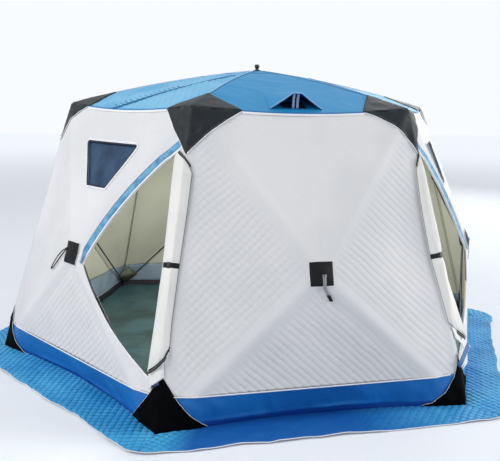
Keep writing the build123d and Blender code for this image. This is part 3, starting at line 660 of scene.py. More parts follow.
def with_nodes(piece, tree, **inputs):
    step = piece.modifiers.new(tree.name, "NODES")
    step.node_group = tree
    for socket in tree.interface.items_tree:
        if socket.name in inputs:
            step[socket.identifier] = inputs[socket.name]


def quilting_group():
    """Soft rows between two sets of slanted seams."""
    tree, wire, given = node_group("Quilting", Across="Float", Up="Float", Puff="Float")
    kind = "GeometryNodeInputNamedAttribute"
    place = wire.add(kind, "cloth", data_type="FLOAT_VECTOR")
    rises = []
    for mark, wave in wire.rows(wire.xyz(place), given["Across"], given["Up"]):
        rises.append(wire.times(wire.math("POWER", wave, 0.55), wire.add(kind, mark, data_type="FLOAT")))
    rise = {"Scale": wire.times(wire.plus(*rises), given["Puff"])}
    out = wire.add("GeometryNodeInputNormal")
    move = wire.add("ShaderNodeVectorMath", out, operation="SCALE", named=rise)
    moved = wire.add("GeometryNodeSetPosition", given["Mesh"], None, None, move)
    wire.add("NodeGroupOutput", wire.add("GeometryNodeRealizeInstances", moved), out=None)
    return tree


def repeating_group():
    """Small round bars along a line."""
    kinds = {"Pitch": "Float", "Length": "Float", "Thickness": "Float", "Finish": "Material"}
    tree, wire, given = node_group("Repeated along a line", **kinds)
    curve = wire.add("GeometryNodeMeshToCurve", given["Mesh"])
    spaced = wire.add("GeometryNodeResampleCurve", curve, named={"Length": given["Pitch"]}, mode="LENGTH")
    sizes = {"Vertices": 5, "Radius": given["Thickness"], "Depth": given["Length"]}
    bar = wire.add("GeometryNodeMeshCylinder", out="Mesh", named=sizes)
    way = {"Vector": wire.add("GeometryNodeInputTangent")}
    stand = wire.add("FunctionNodeAlignRotationToVector", named=way, axis="Z")
    bars = {"Points": spaced, "Instance": bar, "Rotation": stand}
    spread = wire.add("GeometryNodeInstanceOnPoints", named=bars)
    real = wire.add("GeometryNodeRealizeInstances", spread)
    done = wire.add("GeometryNodeSetMaterial", real, named={"Material": given["Finish"]})
    wire.add("NodeGroupOutput", done, out=None)
    return tree


quilting, repeating = quilting_group(), repeating_group()


def quilt(piece, puff, pitch):
    """Quilts a piece before its thickness is added."""
    with_nodes(piece, quilting, Puff=puff, Across=pitch[0], Up=pitch[1])


def repeat_along(name, lines, finish, slot, pitch, length, thickness):
    """Small bars along lines, as one piece."""
    starts = np.cumsum([0] + [len(line) for line in lines])
    pairs = [(start + i, start + i + 1) for start, line in zip(starts, lines) for i in range(len(line) - 1)]
    mesh = bpy.data.meshes.new(name)
    mesh.from_pydata(np.concatenate(lines).tolist(), pairs, [])
    piece = in_scene(name, mesh)
    finish = FINISHES[finish]
    with_nodes(piece, repeating, Pitch=pitch, Length=length, Thickness=thickness, Finish=finish)
    settled(piece)
    if not piece.data.materials:
        piece.data.materials.append(finish)
    stand_for(piece, slot)


# The panels of a wall, with their corners and how far each falls back between its poles
upper = Plane(hub, hub + (1, 0, 0), (top_corner + top_corner * mirror_x) / 2)
lower = Plane(base_corner * mirror_x, base_corner, hub)
side = Plane(base_corner, top_corner, hub)
PANELS = {
    "upper": (upper, (hub, top_corner, top_corner * mirror_x), 0.010),
    "lower": (lower, (hub, base_corner * mirror_x, base_corner), 0.012),
    "side": (side, (hub, base_corner, top_corner), 0.012),
}
seam_foot = base_corner + (top_corner - base_corner) * (BAND_HEIGHT / top_corner[2])
fold_foot = base_corner + (hub - base_corner) * (BAND_HEIGHT / HUB_HEIGHT)


def on_panel(name, flat):
    """Points on one stretched panel of the front wall, from its flat coordinates."""
    plane, (a, b, c), depth = PANELS[name]
    points = plane.up(flat)
    v0, v1, rel = b - a, c - a, points - a
    d00, d01, d11, d20, d21 = v0 @ v0, v0 @ v1, v1 @ v1, rel @ v0, rel @ v1
    spread = d00 * d11 - d01 * d01
    second, third = ramp((d11 * d20 - d01 * d21) / spread), ramp((d00 * d21 - d01 * d20) / spread)
    back = 27 * depth * ramp(1 - second - third) * second * third
    return points - plane.out * back[:, None]


# Openings in the flat of their panels
WINDOW_BOTTOM, WINDOW_TOP, WINDOW_LOW, WINDOW_HIGH = 0.430, 0.705, 0.200, 0.540
WINDOW_CORNER = 0.007
DOOR_TOP, DOOR_TIP, DOOR_BOTTOM = np.array(((1.530, 0.045), (0.860, 0.680), (0.265, 0.055)))
DOOR_UPPER_BOW, DOOR_LOWER_BOW = 0.052, 0.058


def rounded(corners, radius, step):
    """An outline with rounded corners, in the flat."""
    bends, points = [], []
    corners = np.array(corners)
    for corner, before, after in zip(corners, np.roll(corners, 1, axis=0), np.roll(corners, -1, axis=0)):
        back, ahead = unit(before - corner), unit(after - corner)
        run = radius / tan(np.arccos(back @ ahead) / 2)
        middle = corner + unit(back + ahead) * ((radius**2 + run**2) ** 0.5 - radius)
        bends.append((corner + back * run, middle, corner + ahead * run))
    for bend, following in zip(bends, bends[1:] + bends[:1]):
        points += arc(*bend, step) + along(bend[2], following[0], step)
    return np.array(points)


def window_loop(grow=0.0, step=WALL_STEP):
    slant = (WINDOW_HIGH - WINDOW_LOW) / 2 / (WINDOW_TOP - WINDOW_BOTTOM)
    side_grow = grow * (1 + slant**2) ** 0.5
    low = WINDOW_LOW / 2 - slant * grow + side_grow
    high = WINDOW_HIGH / 2 + slant * grow + side_grow
    bottom, top = WINDOW_BOTTOM - grow, WINDOW_TOP + grow
    return rounded([(-low, bottom), (low, bottom), (high, top), (-high, top)], WINDOW_CORNER + grow, step)


def door_edges(step):
    """The doorway's upper edge and its lower one, each without its last point."""
    up, low = DOOR_TIP - DOOR_TOP, DOOR_TIP - DOOR_BOTTOM
    up_middle = DOOR_TOP + up * 0.5 + unit((up[1], -up[0])) * DOOR_UPPER_BOW
    low_middle = DOOR_BOTTOM + low * 0.5 + unit((-low[1], low[0])) * DOOR_LOWER_BOW
    return arc(DOOR_TOP, up_middle, DOOR_TIP, step), arc(DOOR_TIP, low_middle, DOOR_BOTTOM, step)


def door_loop(step=WALL_STEP):
    upper_edge, lower_edge = door_edges(step)
    points = np.array(upper_edge + lower_edge + along(DOOR_BOTTOM, DOOR_TOP, step))
    for _ in range(3):
        near = np.linalg.norm(points - DOOR_TIP, axis=1) < 0.05
        middle = (np.roll(points, 1, axis=0) + points * 2 + np.roll(points, -1, axis=0)) / 4
        points = np.where(near[:, None], middle, points)
    return points


# How strong the falling and rising rows are on each panel; the left side panel has its own
ROWS_FRONT = {"upper": (0.08, 0.05), "lower": (0.9, 0.35), "side": (0.85, 0.30), "left": (0.45, 0.55)}
ROWS_OTHER = {"upper": (0.14, 0.14), "lower": (0.8, 0.9), "side": (0.35, 0.35), "left": (0.40, 0.40)}


def free_of_poles(points, width=0.055):
    """0 where the cloth is stretched over a pole or sewn at a corner, 1 away from them."""
    nearest = np.full(len(points), 9.0)
    lines = [(hub, corner * turn) for corner in (base_corner, top_corner) for turn in (1, mirror_x)]
    lines += [(base_corner, top_corner), (base_corner * mirror_x, top_corner * mirror_x)]
    for start, end in lines:
        way, rel = unit(end - start), points - start
        nearest = np.minimum(nearest, np.linalg.norm(rel - (rel @ way)[:, None] * way, axis=1))
    return eased(ramp(nearest, width))


def wall_cloth(window, door, rows):
    """One wall of stretched quilted cloth, in the front wall's place."""

    def flat_of(plane, points):
        return list(plane.down(points))

    top_flat = upper.down(top_corner)
    upper_loop = flat_of(upper, along(hub, top_corner, WALL_STEP))
    upper_loop += arc(top_flat, (0, top_flat[1] - EAVE_SAG), top_flat * (-1, 1), WALL_STEP)
    upper_loop += flat_of(upper, along(top_corner * mirror_x, hub, WALL_STEP))
    lower_loop = flat_of(lower, loop_of([hub, fold_foot * mirror_x, fold_foot], WALL_STEP))
    side_loop = flat_of(side, loop_of([seam_foot, top_corner, hub, fold_foot], WALL_STEP))
    cloth = Cloth()
    for key, name, outline, holes in (
        ("upper", "upper", upper_loop, [window_loop()] if window else []),
        ("lower", "lower", lower_loop, []),
        ("side", "side", side_loop, [door_loop()] if door else []),
        ("left", "side", side_loop, []),
    ):
        flat, faces = fill(outline, holes, WALL_STEP)
        points = on_panel(name, flat)
        if key == "left":
            points, faces = points * mirror_x, faces[:, ::-1]
        falling, rising = rows[key]
        free, spread = free_of_poles(points), free_of_poles(points, 0.12)
        cloth.add(points, faces, falling_rows=falling * spread, rising_rows=rising * spread, free=free)
    return cloth.sewn()


def hub_wrinkles(points, seed):
    """Creases that run out from the hub and the corners where the cloth is pulled."""
    rise = np.zeros(len(points))
    pulls = ((hub, 0.55, 0.0022), (base_corner, 0.7, 0.0028), (base_corner * mirror_x, 0.7, 0.0028))
    pulls += ((top_corner, 0.5, 0.0016), (top_corner * mirror_x, 0.5, 0.0016))
    for i, (centre, length, height) in enumerate(pulls):
        run = points - centre
        distance = np.linalg.norm(run[:, (0, 2)], axis=1)
        angle = np.arctan2(run[:, 2], run[:, 0])
        fan = rough(joined(angle * 5.5, distance * 1.2), 1.0, seed + i * 3)
        rise += height * fan * bell(distance, length) * ramp(distance, 0.1)
    for end, sign in ((base_corner, 1), (base_corner * mirror_x, -1)):
        way = unit(end - hub)
        length, gap = (points - hub) @ way, (points - hub) @ np.cross(way, upper.out) * sign
        run = ramp(length, 0.12) * ramp(0.85 - length, 0.6) * (length > 0)
        gap = gap + 0.008 * rough(joined(length), 0.16, seed + sign)
        rise += run * (0.0035 * bell(gap, 0.024) - 0.005 * bell(gap - 0.065, 0.032))
    face = points[:, (0, 2)]
    return rise + 0.0016 * rough(face, 0.22, seed + 40) + 0.0008 * rough(face, 0.09, seed + 50)


for turn, name in enumerate(SIDES):
    door, flipped = name in ("left", "right"), name == "right"
    rows = ROWS_FRONT if name == "front" else ROWS_OTHER
    points, faces, marks = wall_cloth(name in WITH_WINDOW, door, rows)
    if flipped:
        points, faces = points * mirror_x, faces[:, ::-1]
    free = marks.pop("free")
    rise = hub_wrinkles(points, turn * 7 + 1) * (0.10 + 0.90 * free)
    from_top = np.linalg.norm(np.abs(points * (1, 0, 1)) - top_corner * (1, 0, 1), axis=1)
    rise += 0.0052 * (1 - free) * ramp(from_top, 0.2)
    points = points + normals_of(points, faces) * rise[:, None]
    points = softened(points, faces, 1 - free_of_poles(points, 0.08), 5)
    place = points[:, (0, 2)] + (0.013, 0.021)
    for size, lean in ((0.30, 0.010), (0.09, 0.0045)):
        place = place + lean * joined(rough(place, size, turn + 21), rough(place, size, turn + 31))
    linings = (wall_outside, wall_inside)
    wall = mesh_piece(f"{name}_wall_cloth", turned(points, turn), faces, linings, place, marks)
    quilt(wall, 0.0014, WALL_PITCH)
    stand_for(thickened(wall, CLOTH, 1), "wall_fabric", f"{name}_wall")

# The roof: six panels that arch over the poles and sag between them
EAVE_REACH = EAVE_RADIUS * cos(HALF)
ROOF_START = 0.022
ROOF_ROWS = {"front": 0.06, "left": 0.8, "right": 0.6}
VENT_SHIFT = -0.031
HOLE_HALF, HOLE_TOP, HOLE_FOOT = 0.075, -0.920, -1.036
VENT_HOLE = [(VENT_SHIFT - HOLE_HALF, HOLE_TOP), (VENT_SHIFT + HOLE_HALF, HOLE_TOP)]
VENT_HOLE += [(VENT_SHIFT + HOLE_HALF, HOLE_FOOT), (VENT_SHIFT - HOLE_HALF, HOLE_FOOT)]


def on_roof(plan):
    """Points on the front roof panel, from their place in the plan."""
    x, y = np.asarray(plan, float).T
    share = np.clip(-y / EAVE_REACH, 1e-6, 1.2)
    across = np.clip(x / np.maximum(-y * tan(HALF), 1e-6), -1, 1)
    ridge = PEAK_HEIGHT - (PEAK_HEIGHT - EAVE_HEIGHT) * share + RIDGE_ARCH * 4 * share * (1 - share)
    sag = EAVE_SAG * share**2 * (1 - across**2)
    return joined(x, y - sag * tan(upper_tilt) * share**6, ridge - sag)


for turn, name in enumerate(SIDES):
    start, end = (np.array((reach * tan(HALF), -reach)) for reach in (ROOF_START, EAVE_REACH))
    outline = loop_of([start * (-1, 1), end * (-1, 1), end, start], ROOF_STEP)
    plan, faces = fill(outline, [loop_of(VENT_HOLE, ROOF_STEP)] if name == "front" else [], ROOF_STEP)
    points = on_roof(plan)
    from_eave = EAVE_REACH + plan[:, 1]
    free = ramp(-plan[:, 1] * sin(HALF) - np.abs(plan[:, 0]) * cos(HALF), 0.06)
    rise = 0.003 * rough(plan, 0.16, turn + 3) + 0.0016 * rough(plan, 0.06, turn + 9)
    points[:, 2] += rise * ramp(from_eave, 0.08) * free
    rows = ROOF_ROWS.get(name, 0.4) * ramp(from_eave, 0.05) * free
    # smooth_cloth marks the front panel for the roof finish's painted shade.
    smooth = np.full(len(plan), float(name == "front"))
    marks = {"falling_rows": rows, "rising_rows": rows, "smooth_cloth": smooth}
    linings = (roof_outside, FINISHES["grey_roof_lining"])
    roof = mesh_piece(f"{name}_roof_cloth", turned(points, turn), faces, linings, plan, marks)
    quilt(roof, 0.003, ROOF_PITCH)
    stand_for(thickened(roof, CLOTH, 1), "roof_fabric", f"{name}_roof")

# The blue band under each wall, and the skirt that lies on the ground
foot_corner = base_corner + (top_corner - base_corner) * (FOOT / top_corner[2])
SKIRT_REACH = -foot_corner[1] + SKIRT_WIDTH
SKIRT_TUCK = 0.016


def foot_curve(x, inset=0.0):
    """The wall's foot in the plan: straight by the corners, bowed inwards between them."""
    corner_x = foot_corner[0] - inset / cos(HALF) * sin(HALF)
    corner_y = foot_corner[1] + inset
    bend_x, bend_y = foot_corner[0] - BAND_END, corner_y + BAND_BOW * 0.28
    bowed = corner_y + BAND_BOW - (BAND_BOW - BAND_BOW * 0.28) * (x / bend_x) ** 2
    straight = bend_y + (corner_y - bend_y) * (np.abs(x) - bend_x) / (corner_x - bend_x)
    return np.where(np.abs(x) < bend_x, bowed, straight)


def band_cloth(turn, columns=150, rows=19):
    across, down = np.linspace(-1, 1, columns), np.linspace(0, 1, rows)[:, None]
    top_x, foot_x = across * seam_foot[0], across * foot_corner[0]
    over = ramp(np.abs(top_x) - fold_foot[0], seam_foot[0] - fold_foot[0])
    top_y = fold_foot[1] + (seam_foot[1] - fold_foot[1]) * over
    x = top_x + (foot_x - top_x) * down
    y = top_y + (foot_curve(foot_x) - top_y) * down
    z = BAND_HEIGHT + (FOOT - BAND_HEIGHT) * down
    shape, place = joined(x, y, z), joined(x, z)
    calm = (ramp(1 - np.abs(across), 0.08) * np.sin(down * pi) ** 0.6).ravel()
    upright = joined(place[:, 0] / 0.045 + place[:, 1] / 0.16, place[:, 1] / 0.30)
    slanted = joined((place[:, 0] + place[:, 1] * 0.8) / 0.075, place[:, 1] / 0.14)
    rise = 0.0045 * rough(upright, 1.0, turn + 60) + 0.006 * rough(slanted, 1.0, turn + 70)
    crest = 0.80 + 0.05 * rough(joined(across, 0), 0.5, turn + 75)
    roll = bell(down - crest, 0.055) * (0.009 + 0.005 * np.sin(across * 9 + turn))
    roll = (roll - bell(down - crest - 0.11, 0.05) * 0.006) * (1 - across**2)
    shape[:, 1] -= rise * calm + roll.ravel()
    return turned(shape, turn), grid_faces(rows, columns)[:, ::-1], place


def skirt_edge(across):
    """The skirt's outer edge in the plan, with rounded corners."""
    start_x = (SKIRT_REACH - SKIRT_CORNER) * tan(HALF)
    run = np.abs(across) * (start_x + SKIRT_CORNER * HALF)
    angle = np.clip((run - start_x) / SKIRT_CORNER, 0, HALF)
    x = np.minimum(run, start_x) + SKIRT_CORNER * np.sin(angle)
    return np.sign(across) * x, -SKIRT_REACH + SKIRT_CORNER * (1 - np.cos(angle))


def rippled(points, share):
    """The skirt's cloth, wavy and raised in ripples towards its edge."""
    plan = points[:, :2]
    wave = 0.016 * rough(plan, 0.20, 5) + 0.006 * rough(plan, 0.07, 6)
    plan = plan + unit(plan) * (wave * share**2)[:, None]
    ripple = np.clip(0.5 + 0.5 * rough(plan, 0.15, 8) + 0.35 * rough(plan, 0.06, 9), 0, 1.5)
    return np.column_stack([plan, FOOT + ripple * 0.010 * ramp(share - 0.12, 0.25)])


def skirt_cloth_at(turn, name, columns=190, rows=26):
    across, out = np.linspace(-1, 1, columns), np.linspace(0, 1, rows)[:, None]
    in_x = across * (foot_corner[0] - SKIRT_TUCK / cos(HALF) * sin(HALF))
    in_y = foot_curve(in_x, SKIRT_TUCK)
    edge_x, edge_y = skirt_edge(across)
    place = joined(in_x + (edge_x - in_x) * out, in_y + (edge_y - in_y) * out)
    shape = rippled(turned(joined(*place.T, 0), turn), (out + across * 0).ravel()) + (0, 0, 0.0005)
    lively = np.ones(columns)
    if name == "front":
        lively = np.maximum(np.clip((across - 0.02) / 1.15, 0.05, 1), ramp(-0.72 - across, 0.20))
    return shape, grid_faces(rows, columns)[:, ::-1], place, (lively * np.ones_like(out)).ravel()


for turn, name in enumerate(SIDES):
    points, faces, place = band_cloth(turn)
    linings = (band_outside, FINISHES["grey_blue_lining"])
    band = mesh_piece(f"{name}_band_cloth", points, faces, linings, place)
    stand_for(thickened(band, CLOTH, 1), "band_fabric", f"{name}_band")
    points, faces, place, lively = skirt_cloth_at(turn, name)
    # smooth is the share of the painted deep-blue shade on the front skirt's smooth middle.
    smooth = ramp(0.9 - lively, 0.8) * (name == "front")
    marks = {"falling_rows": lively * 0.9, "rising_rows": lively, "smooth_cloth": smooth}
    skirt = mesh_piece(f"{name}_skirt_cloth", points, faces, (skirt_cloth, skirt_cloth), place, marks)
    quilt(skirt, 0.0048, SKIRT_PITCH)
    stand_for(thickened(skirt, 0.005), "skirt_fabric", f"{name}_skirt")

# The floor cloth, creased where it was folded: three short creases, then three sets of long ones
MAT_INSET, MAT_REST = 0.018, 0.0032
SHORT_CREASES = (
    ((-1.07, 0.79), (-0.74, 1.30)),
    ((-1.10, -0.02), (0.30, -0.09)),
    ((-0.62, 0.30), (0.75, 0.52)),
)
LONG_CREASES = ((0.1, 0.62, 0.11), (1.66, 0.55, 0.2), (0.9, 1.1, 0.3))
x = np.linspace(-1, 1, 40)[:-1] * (foot_corner[0] - MAT_INSET * tan(HALF))
edge = joined(x, foot_curve(x, MAT_INSET), 0)
plan, faces = fill(np.concatenate([turned(edge, turn)[:, :2] for turn in range(6)]), [], FLOOR_STEP)
crease = np.zeros(len(plan))
for start, end in np.array(SHORT_CREASES):
    way = end - start
    share = ramp((plan - start) @ way, way @ way)
    gap = np.linalg.norm(plan - start - share[:, None] * way, axis=1) + 0.010 * rough(plan, 0.12, 55)
    crease += 1.1 * bell(gap, 0.022)
for i, (angle, gap, shift) in enumerate(LONG_CREASES):
    run = plan @ (cos(angle), sin(angle)) + 0.02 * rough(plan, 0.5, 30 + i) + shift
    crease += bell(((run / gap) % 1 - 0.5) * gap, 0.02) * (0.5 + 0.5 * rough(plan, 0.35, 40 + i))
height = 0.0003 + 0.013 * np.clip(crease, 0, 1.2) + 0.006 * ramp(rough(plan, 0.4, 77))
points = np.column_stack([plan, MAT_REST + height * ramp(1.50 - np.linalg.norm(plan, axis=1), 0.2)])
mat = mesh_piece("floor_cloth", points, faces, (FINISHES["dark_green_floor_cloth"],) * 2, plan)
stand_for(thickened(mat, 0.003), "mat_cloth", "floor_mat")

# Patches of black cloth: an outline seen square on, laid down on the cloth behind it
known_trees = {}


def trees_of(*names):
    """What a patch or a tape can be laid on."""
    for name in names:
        if name not in known_trees:
            bpy.context.view_layer.update()
            graph = bpy.context.evaluated_depsgraph_get()
            known_trees[name] = BVHTree.FromObject(bpy.data.objects[name], graph)
    return [known_trees[name] for name in names]


def pressed_on(points, trees, lift):
    """Points moved to the nearest cloth, and its directions out."""
    places, ways = [], []
    for point in points:
        best = min((tree.find_nearest(Vector(point)) for tree in trees), key=lambda found: found[3])
        way = np.array(best[1])
        if way @ (point - (0, 0, 0.9)) < 0:
            way = -way
        places.append(np.array(best[0]) + way * lift)
        ways.append(way)
    ways = np.array(ways)
    for _ in range(2):
        ways[1:-1] = (ways[:-2] + ways[1:-1] * 2 + ways[2:]) / 4
    return np.array(places), unit(ways)


def laid_on(flat, axes, trees, lift, start=3.0):
    """Points of an outline's plane, moved along its last axis onto the nearest cloth."""
    origin, across, up, into = np.array(axes, float)
    points, normals = [], []
    for u, v in flat:
        begin = Vector(origin + across * u + up * v - into * start)
        hits = [hit for hit in (tree.ray_cast(begin, Vector(into)) for tree in trees) if hit[0] is not None]
        best = min(hits, key=lambda found: found[3], default=None)
        if best is None or best[3] > start * 2:
            near = [tree.find_nearest(begin + Vector(into) * start) for tree in trees]
            best = min(near, key=lambda found: found[3])
        points.append(best[0])
        normals.append(best[1] if best[1].dot(Vector(into)) < 0 else -best[1])
    normals = np.array(normals)
    return np.array(points) + normals * lift, normals


corner_out = np.array((sin(HALF), -cos(HALF), 0.0))
corner_right = np.array((cos(HALF), sin(HALF), 0.0))
EAVE_DROP = 0.266
BASE_HALF, BASE_TIP, BASE_LOW = 0.255 * cos(HALF), 0.300, 0.008
HUB_PATCH, HUB_PATCH_STEP = 0.066, 0.008
EAVE_LIFT, ROOF_LIFT, BASE_LIFT, HUB_LIFT = 0.005, 0.004, 0.006, 0.004
FROM_ABOVE = ((0, 0, 0), (1, 0, 0), (0, 1, 0), (0, 0, -1))


def corner_axes(turn):
    """A plane square on to a corner, looking in."""
    return np.vstack([np.zeros(3), turned([corner_right, (0, 0, 1), -corner_out], turn)])


def cloths_by(turn, *kinds):
    """The cloths on both sides of a corner."""
    return trees_of(*(f"{SIDES[side % 6]}_{kind}_cloth" for kind in kinds for side in (turn, turn + 1)))


def corner_patch(outline, turn, trees, lift, seed, folds=0.003):
    """One patch round a corner, between a wall and the next one round."""
    flat, faces = fill(outline, [], PATCH_STEP)
    points, normals = laid_on(flat, corner_axes(turn), trees, lift)
    rise = folds * rough(joined(flat[:, 0] / 0.05, flat[:, 1] / 0.11), 1.0, seed)
    rise = rise + folds * 0.7 * rough(flat, 0.03, seed + 1)
    return points + normals * np.clip(rise, -lift * 0.6, None)[:, None], faces, flat


def patch_reach(turn):
    """How far the patch of one corner lies along the eave before it and after it."""
    return {4: (0.290, 0.240), 5: (0.215, 0.290)}.get(turn % 6, (0.290, 0.290))


def eave_sides(turn):
    """The patch's outline on the walls: along the eave, to the tip, back up and home."""
    left_bend, right_bend = (-0.004, -0.012) if turn == 5 else (-0.042, -0.034)
    top, tip = (0, EAVE_HEIGHT + 0.002), (0, EAVE_HEIGHT - EAVE_DROP * 0.967)
    ends = []
    for way, reach in zip((-1, 1), patch_reach(turn)):
        sag = EAVE_SAG * (1 - (1 - reach / eave_corner[0]) ** 2)
        ends.append((way * reach * cos(HALF), EAVE_HEIGHT - sag))
    down, up = concave(ends[0], tip, left_bend, PATCH_STEP), concave(tip, ends[1], right_bend, PATCH_STEP)
    return along(top, ends[0], PATCH_STEP), down, up, along(ends[1], top, PATCH_STEP)


def roof_patch_outline(turn):
    corner = eave_corner[:2] * 1.004
    before, after = patch_reach(turn)
    ridge = 0.285 if turn == 5 else 0.312
    tip = corner_out[:2] * (EAVE_RADIUS - ridge * cos(roof_slope))
    far = corner + np.array((after * cos(pi / 3), after * sin(pi / 3)))
    return loop_of([tip, corner + (-before, 0), corner, far], PATCH_STEP)


def base_outline(turn):
    left_bend, right_bend = (-0.010, -0.006) if turn == 5 else (-0.045, -0.025)
    left, right, tip = (-BASE_HALF, BASE_LOW), (BASE_HALF, BASE_LOW), (0, BASE_TIP)
    points = along(left, right, PATCH_STEP) + concave(right, tip, right_bend, PATCH_STEP)
    return points + concave(tip, left, left_bend, PATCH_STEP)


eave_parts, roof_parts, base_parts, hub_parts = [], [], [], []
hub_out = unit(upper.out + lower.out)
hub_axes = np.array([hub, (1, 0, 0), np.cross(hub_out, (1, 0, 0)), -hub_out])
hub_corners = np.array(((-1, -1), (1, -1), (1, 1), (-1, 1))) * HUB_PATCH
hub_outline = loop_of(hub_corners, HUB_PATCH_STEP)
for turn, name in enumerate(SIDES):
    outline = sum(eave_sides(turn), [])
    trees = cloths_by(turn, "wall", "roof")
    eave_parts.append(corner_patch(outline, turn, trees, EAVE_LIFT, 100 + turn))
    flat, faces = fill(roof_patch_outline(turn), [], PATCH_STEP * 1.2)
    spun = turned(joined(*flat.T, 0), turn)[:, :2]
    points, ways = laid_on(spun, FROM_ABOVE, cloths_by(turn, "roof"), ROOF_LIFT)
    points[:, 2] += 0.0015 * rough(spun, 0.05, 7)
    roof_parts.append((points, faces, flat))
    trees = cloths_by(turn, "wall", "band")
    base_parts.append(corner_patch(base_outline(turn), turn, trees, BASE_LIFT, 200 + turn, 0.004))
    flat, faces = fill(hub_outline, [], HUB_PATCH_STEP)
    trees = trees_of(f"{name}_wall_cloth")
    points, ways = laid_on(flat, turned(hub_axes, turn), trees, HUB_LIFT, 0.3)
    hub_parts.append((points, faces, flat))


def patch_piece(name, parts, finish, node):
    """Every copy of a patch as one piece."""
    piece = copies_piece(name, parts, FINISHES[finish])
    return stand_for(thickened(piece, 0.0025, 0, 0.0), "patch_fabric", node)


both_parts = [part for pair in zip(eave_parts, roof_parts) for part in pair]
eave_cloth = patch_piece("eave_corner_cloth", both_parts, "black_coated_cloth", "eave_corner_patches")
foot_cloth = patch_piece("base_corner_cloth", base_parts, "black_foot_cloth", "base_corner_patches")
hub_cloth = patch_piece("hub_patch_cloth", hub_parts, "black_hub_cloth", "hub_patches")


def inset_loop(loop, gap):
    """A closed outline moved in by a gap."""
    loop = np.asarray(loop, float)
    ahead = ways_along(loop, True)
    way = joined(-ahead[:, 1], ahead[:, 0])
    if not inside(loop[:1] + way[:1] * 1e-3, loop)[0]:
        way = -way
    return loop + way * gap


# White edging round the patches and along the eaves and the skirt
# The eave's two tapes: shift inwards, rise, lean, width and finish
EAVE_TAPES = ((0.003, -0.0075, 0.25, 0.013, 0), (-0.010, 0.0035, 0.95, 0.010, 1))
edging = Bundle()
for turn, (points, faces, flat) in enumerate(eave_parts):
    start, down, up = (len(run) for run in eave_sides(turn)[:3])
    edging.add(tube(points[start : start + down + up + 1], 0.0026))
base_start = len(along((-BASE_HALF, BASE_LOW), (BASE_HALF, BASE_LOW), PATCH_STEP))
for turn, (points, faces, flat) in enumerate(base_parts):
    edging.add(tube(points[base_start : len(base_outline(turn))], 0.0014))
for points, faces, flat in hub_parts:
    edging.add(tube(points[: len(hub_outline)], 0.0016, closed=True))
for turn, name in enumerate(SIDES):
    ends = EAVE_REACH * tan(HALF) + 0.007
    x = np.linspace(patch_reach(turn - 1)[1] - ends, ends - patch_reach(turn)[0], 60)
    eave = on_roof(joined(x, -EAVE_REACH))
    for shift, rise, lean, width, finish in EAVE_TAPES:
        way = turned((0, -cos(lean), sin(lean)), turn)
        edging.add(ribbon(turned(eave + (0, -shift, rise), turn), way, width, 0.003, 0.001), finish)
    rim = turned(joined(*skirt_edge(np.linspace(-1, 1, 190)), 0), turn)
    edging.add(tube(rippled(rim, np.ones(len(rim))), 0.0026))
    points, faces, place = band_cloth(turn)
    # A pale line along the band's top edge: a painted highlight where the edge catches the light.
    edging.add(tube(points[6:144] + turned((0, -0.003, 0.002), turn), 0.0036))
edging.piece("white_edging", ("white_edging", "deep_blue_hem"), "trim_fabric")


# Windows: tinted film behind each opening, a dark binding over its edge and a white one round that
def on_wall(panel, flat, turn, flipped=False, lift=0.0):
    """Points on a finished wall: its panel, its creases and then the lift."""
    points = on_panel(panel, flat)
    out = PANELS[panel][0].out * np.ones((len(points), 1))
    if flipped:
        points, out = points * mirror_x, out * mirror_x
    free = free_of_poles(points)
    rise = hub_wrinkles(points, turn * 7 + 1) * (0.10 + 0.90 * free) + 0.0040 * (1 - free) + lift
    return turned(points + out * rise[:, None], turn), turned(out, turn)


# Each window's two bindings: how far outside the opening, width, rise and finish
WINDOW_TAPES = ((0.0030, 0.012, 0.0020, 0), (0.0145, 0.013, 0.0036, 1))
films, bindings, light_lines = [], Bundle(), []
for turn, name in enumerate(SIDES):
    if name not in WITH_WINDOW:
        continue
    flipped = name == "right"
    flat, faces = fill(window_loop(0.007), [], 0.02)
    points, ways = on_wall("upper", flat, turn, flipped, -0.0085 + 0.002 * rough(flat, 0.12, turn))
    films.append((points, faces, flat))
    for grow, width, rise, finish in WINDOW_TAPES:
        loop = window_loop(grow, 0.012)
        points, ways = on_wall("upper", loop, turn, flipped, 0.0012)
        bindings.add(ribbon(points, ways, width, rise, 0.0005, True), finish)
    light_lines.append(on_wall("upper", loop, turn, flipped, 0.0056)[0])
film = copies_piece("window_films", films, FINISHES["tinted_window_film"])
stand_for(thickened(film, 0.0012), "window_film", "window_panes")
binding_finishes = ("dark_window_binding", "white_edging")
bindings.piece("window_bindings", binding_finishes, "window_edging", "window_borders")

# Doors: blue trim and white binding round the opening, and the door cloth rolled up at the corner seam
seam_way = unit(top_corner - base_corner)
seam_out = unit(corner_out - seam_way * (corner_out @ seam_way))
to_door = -corner_right
fall = (to_door @ side.out) / (seam_out @ side.out)


def by_seam(up, across, out):
    """Points by the corner seam: up it, across towards the door, and out from the cloth."""
    up, across, out = (np.asarray(value, float)[..., None] for value in (up, across, out))
    return base_corner + seam_way * up + to_door * across + seam_out * (out - fall * np.abs(across))


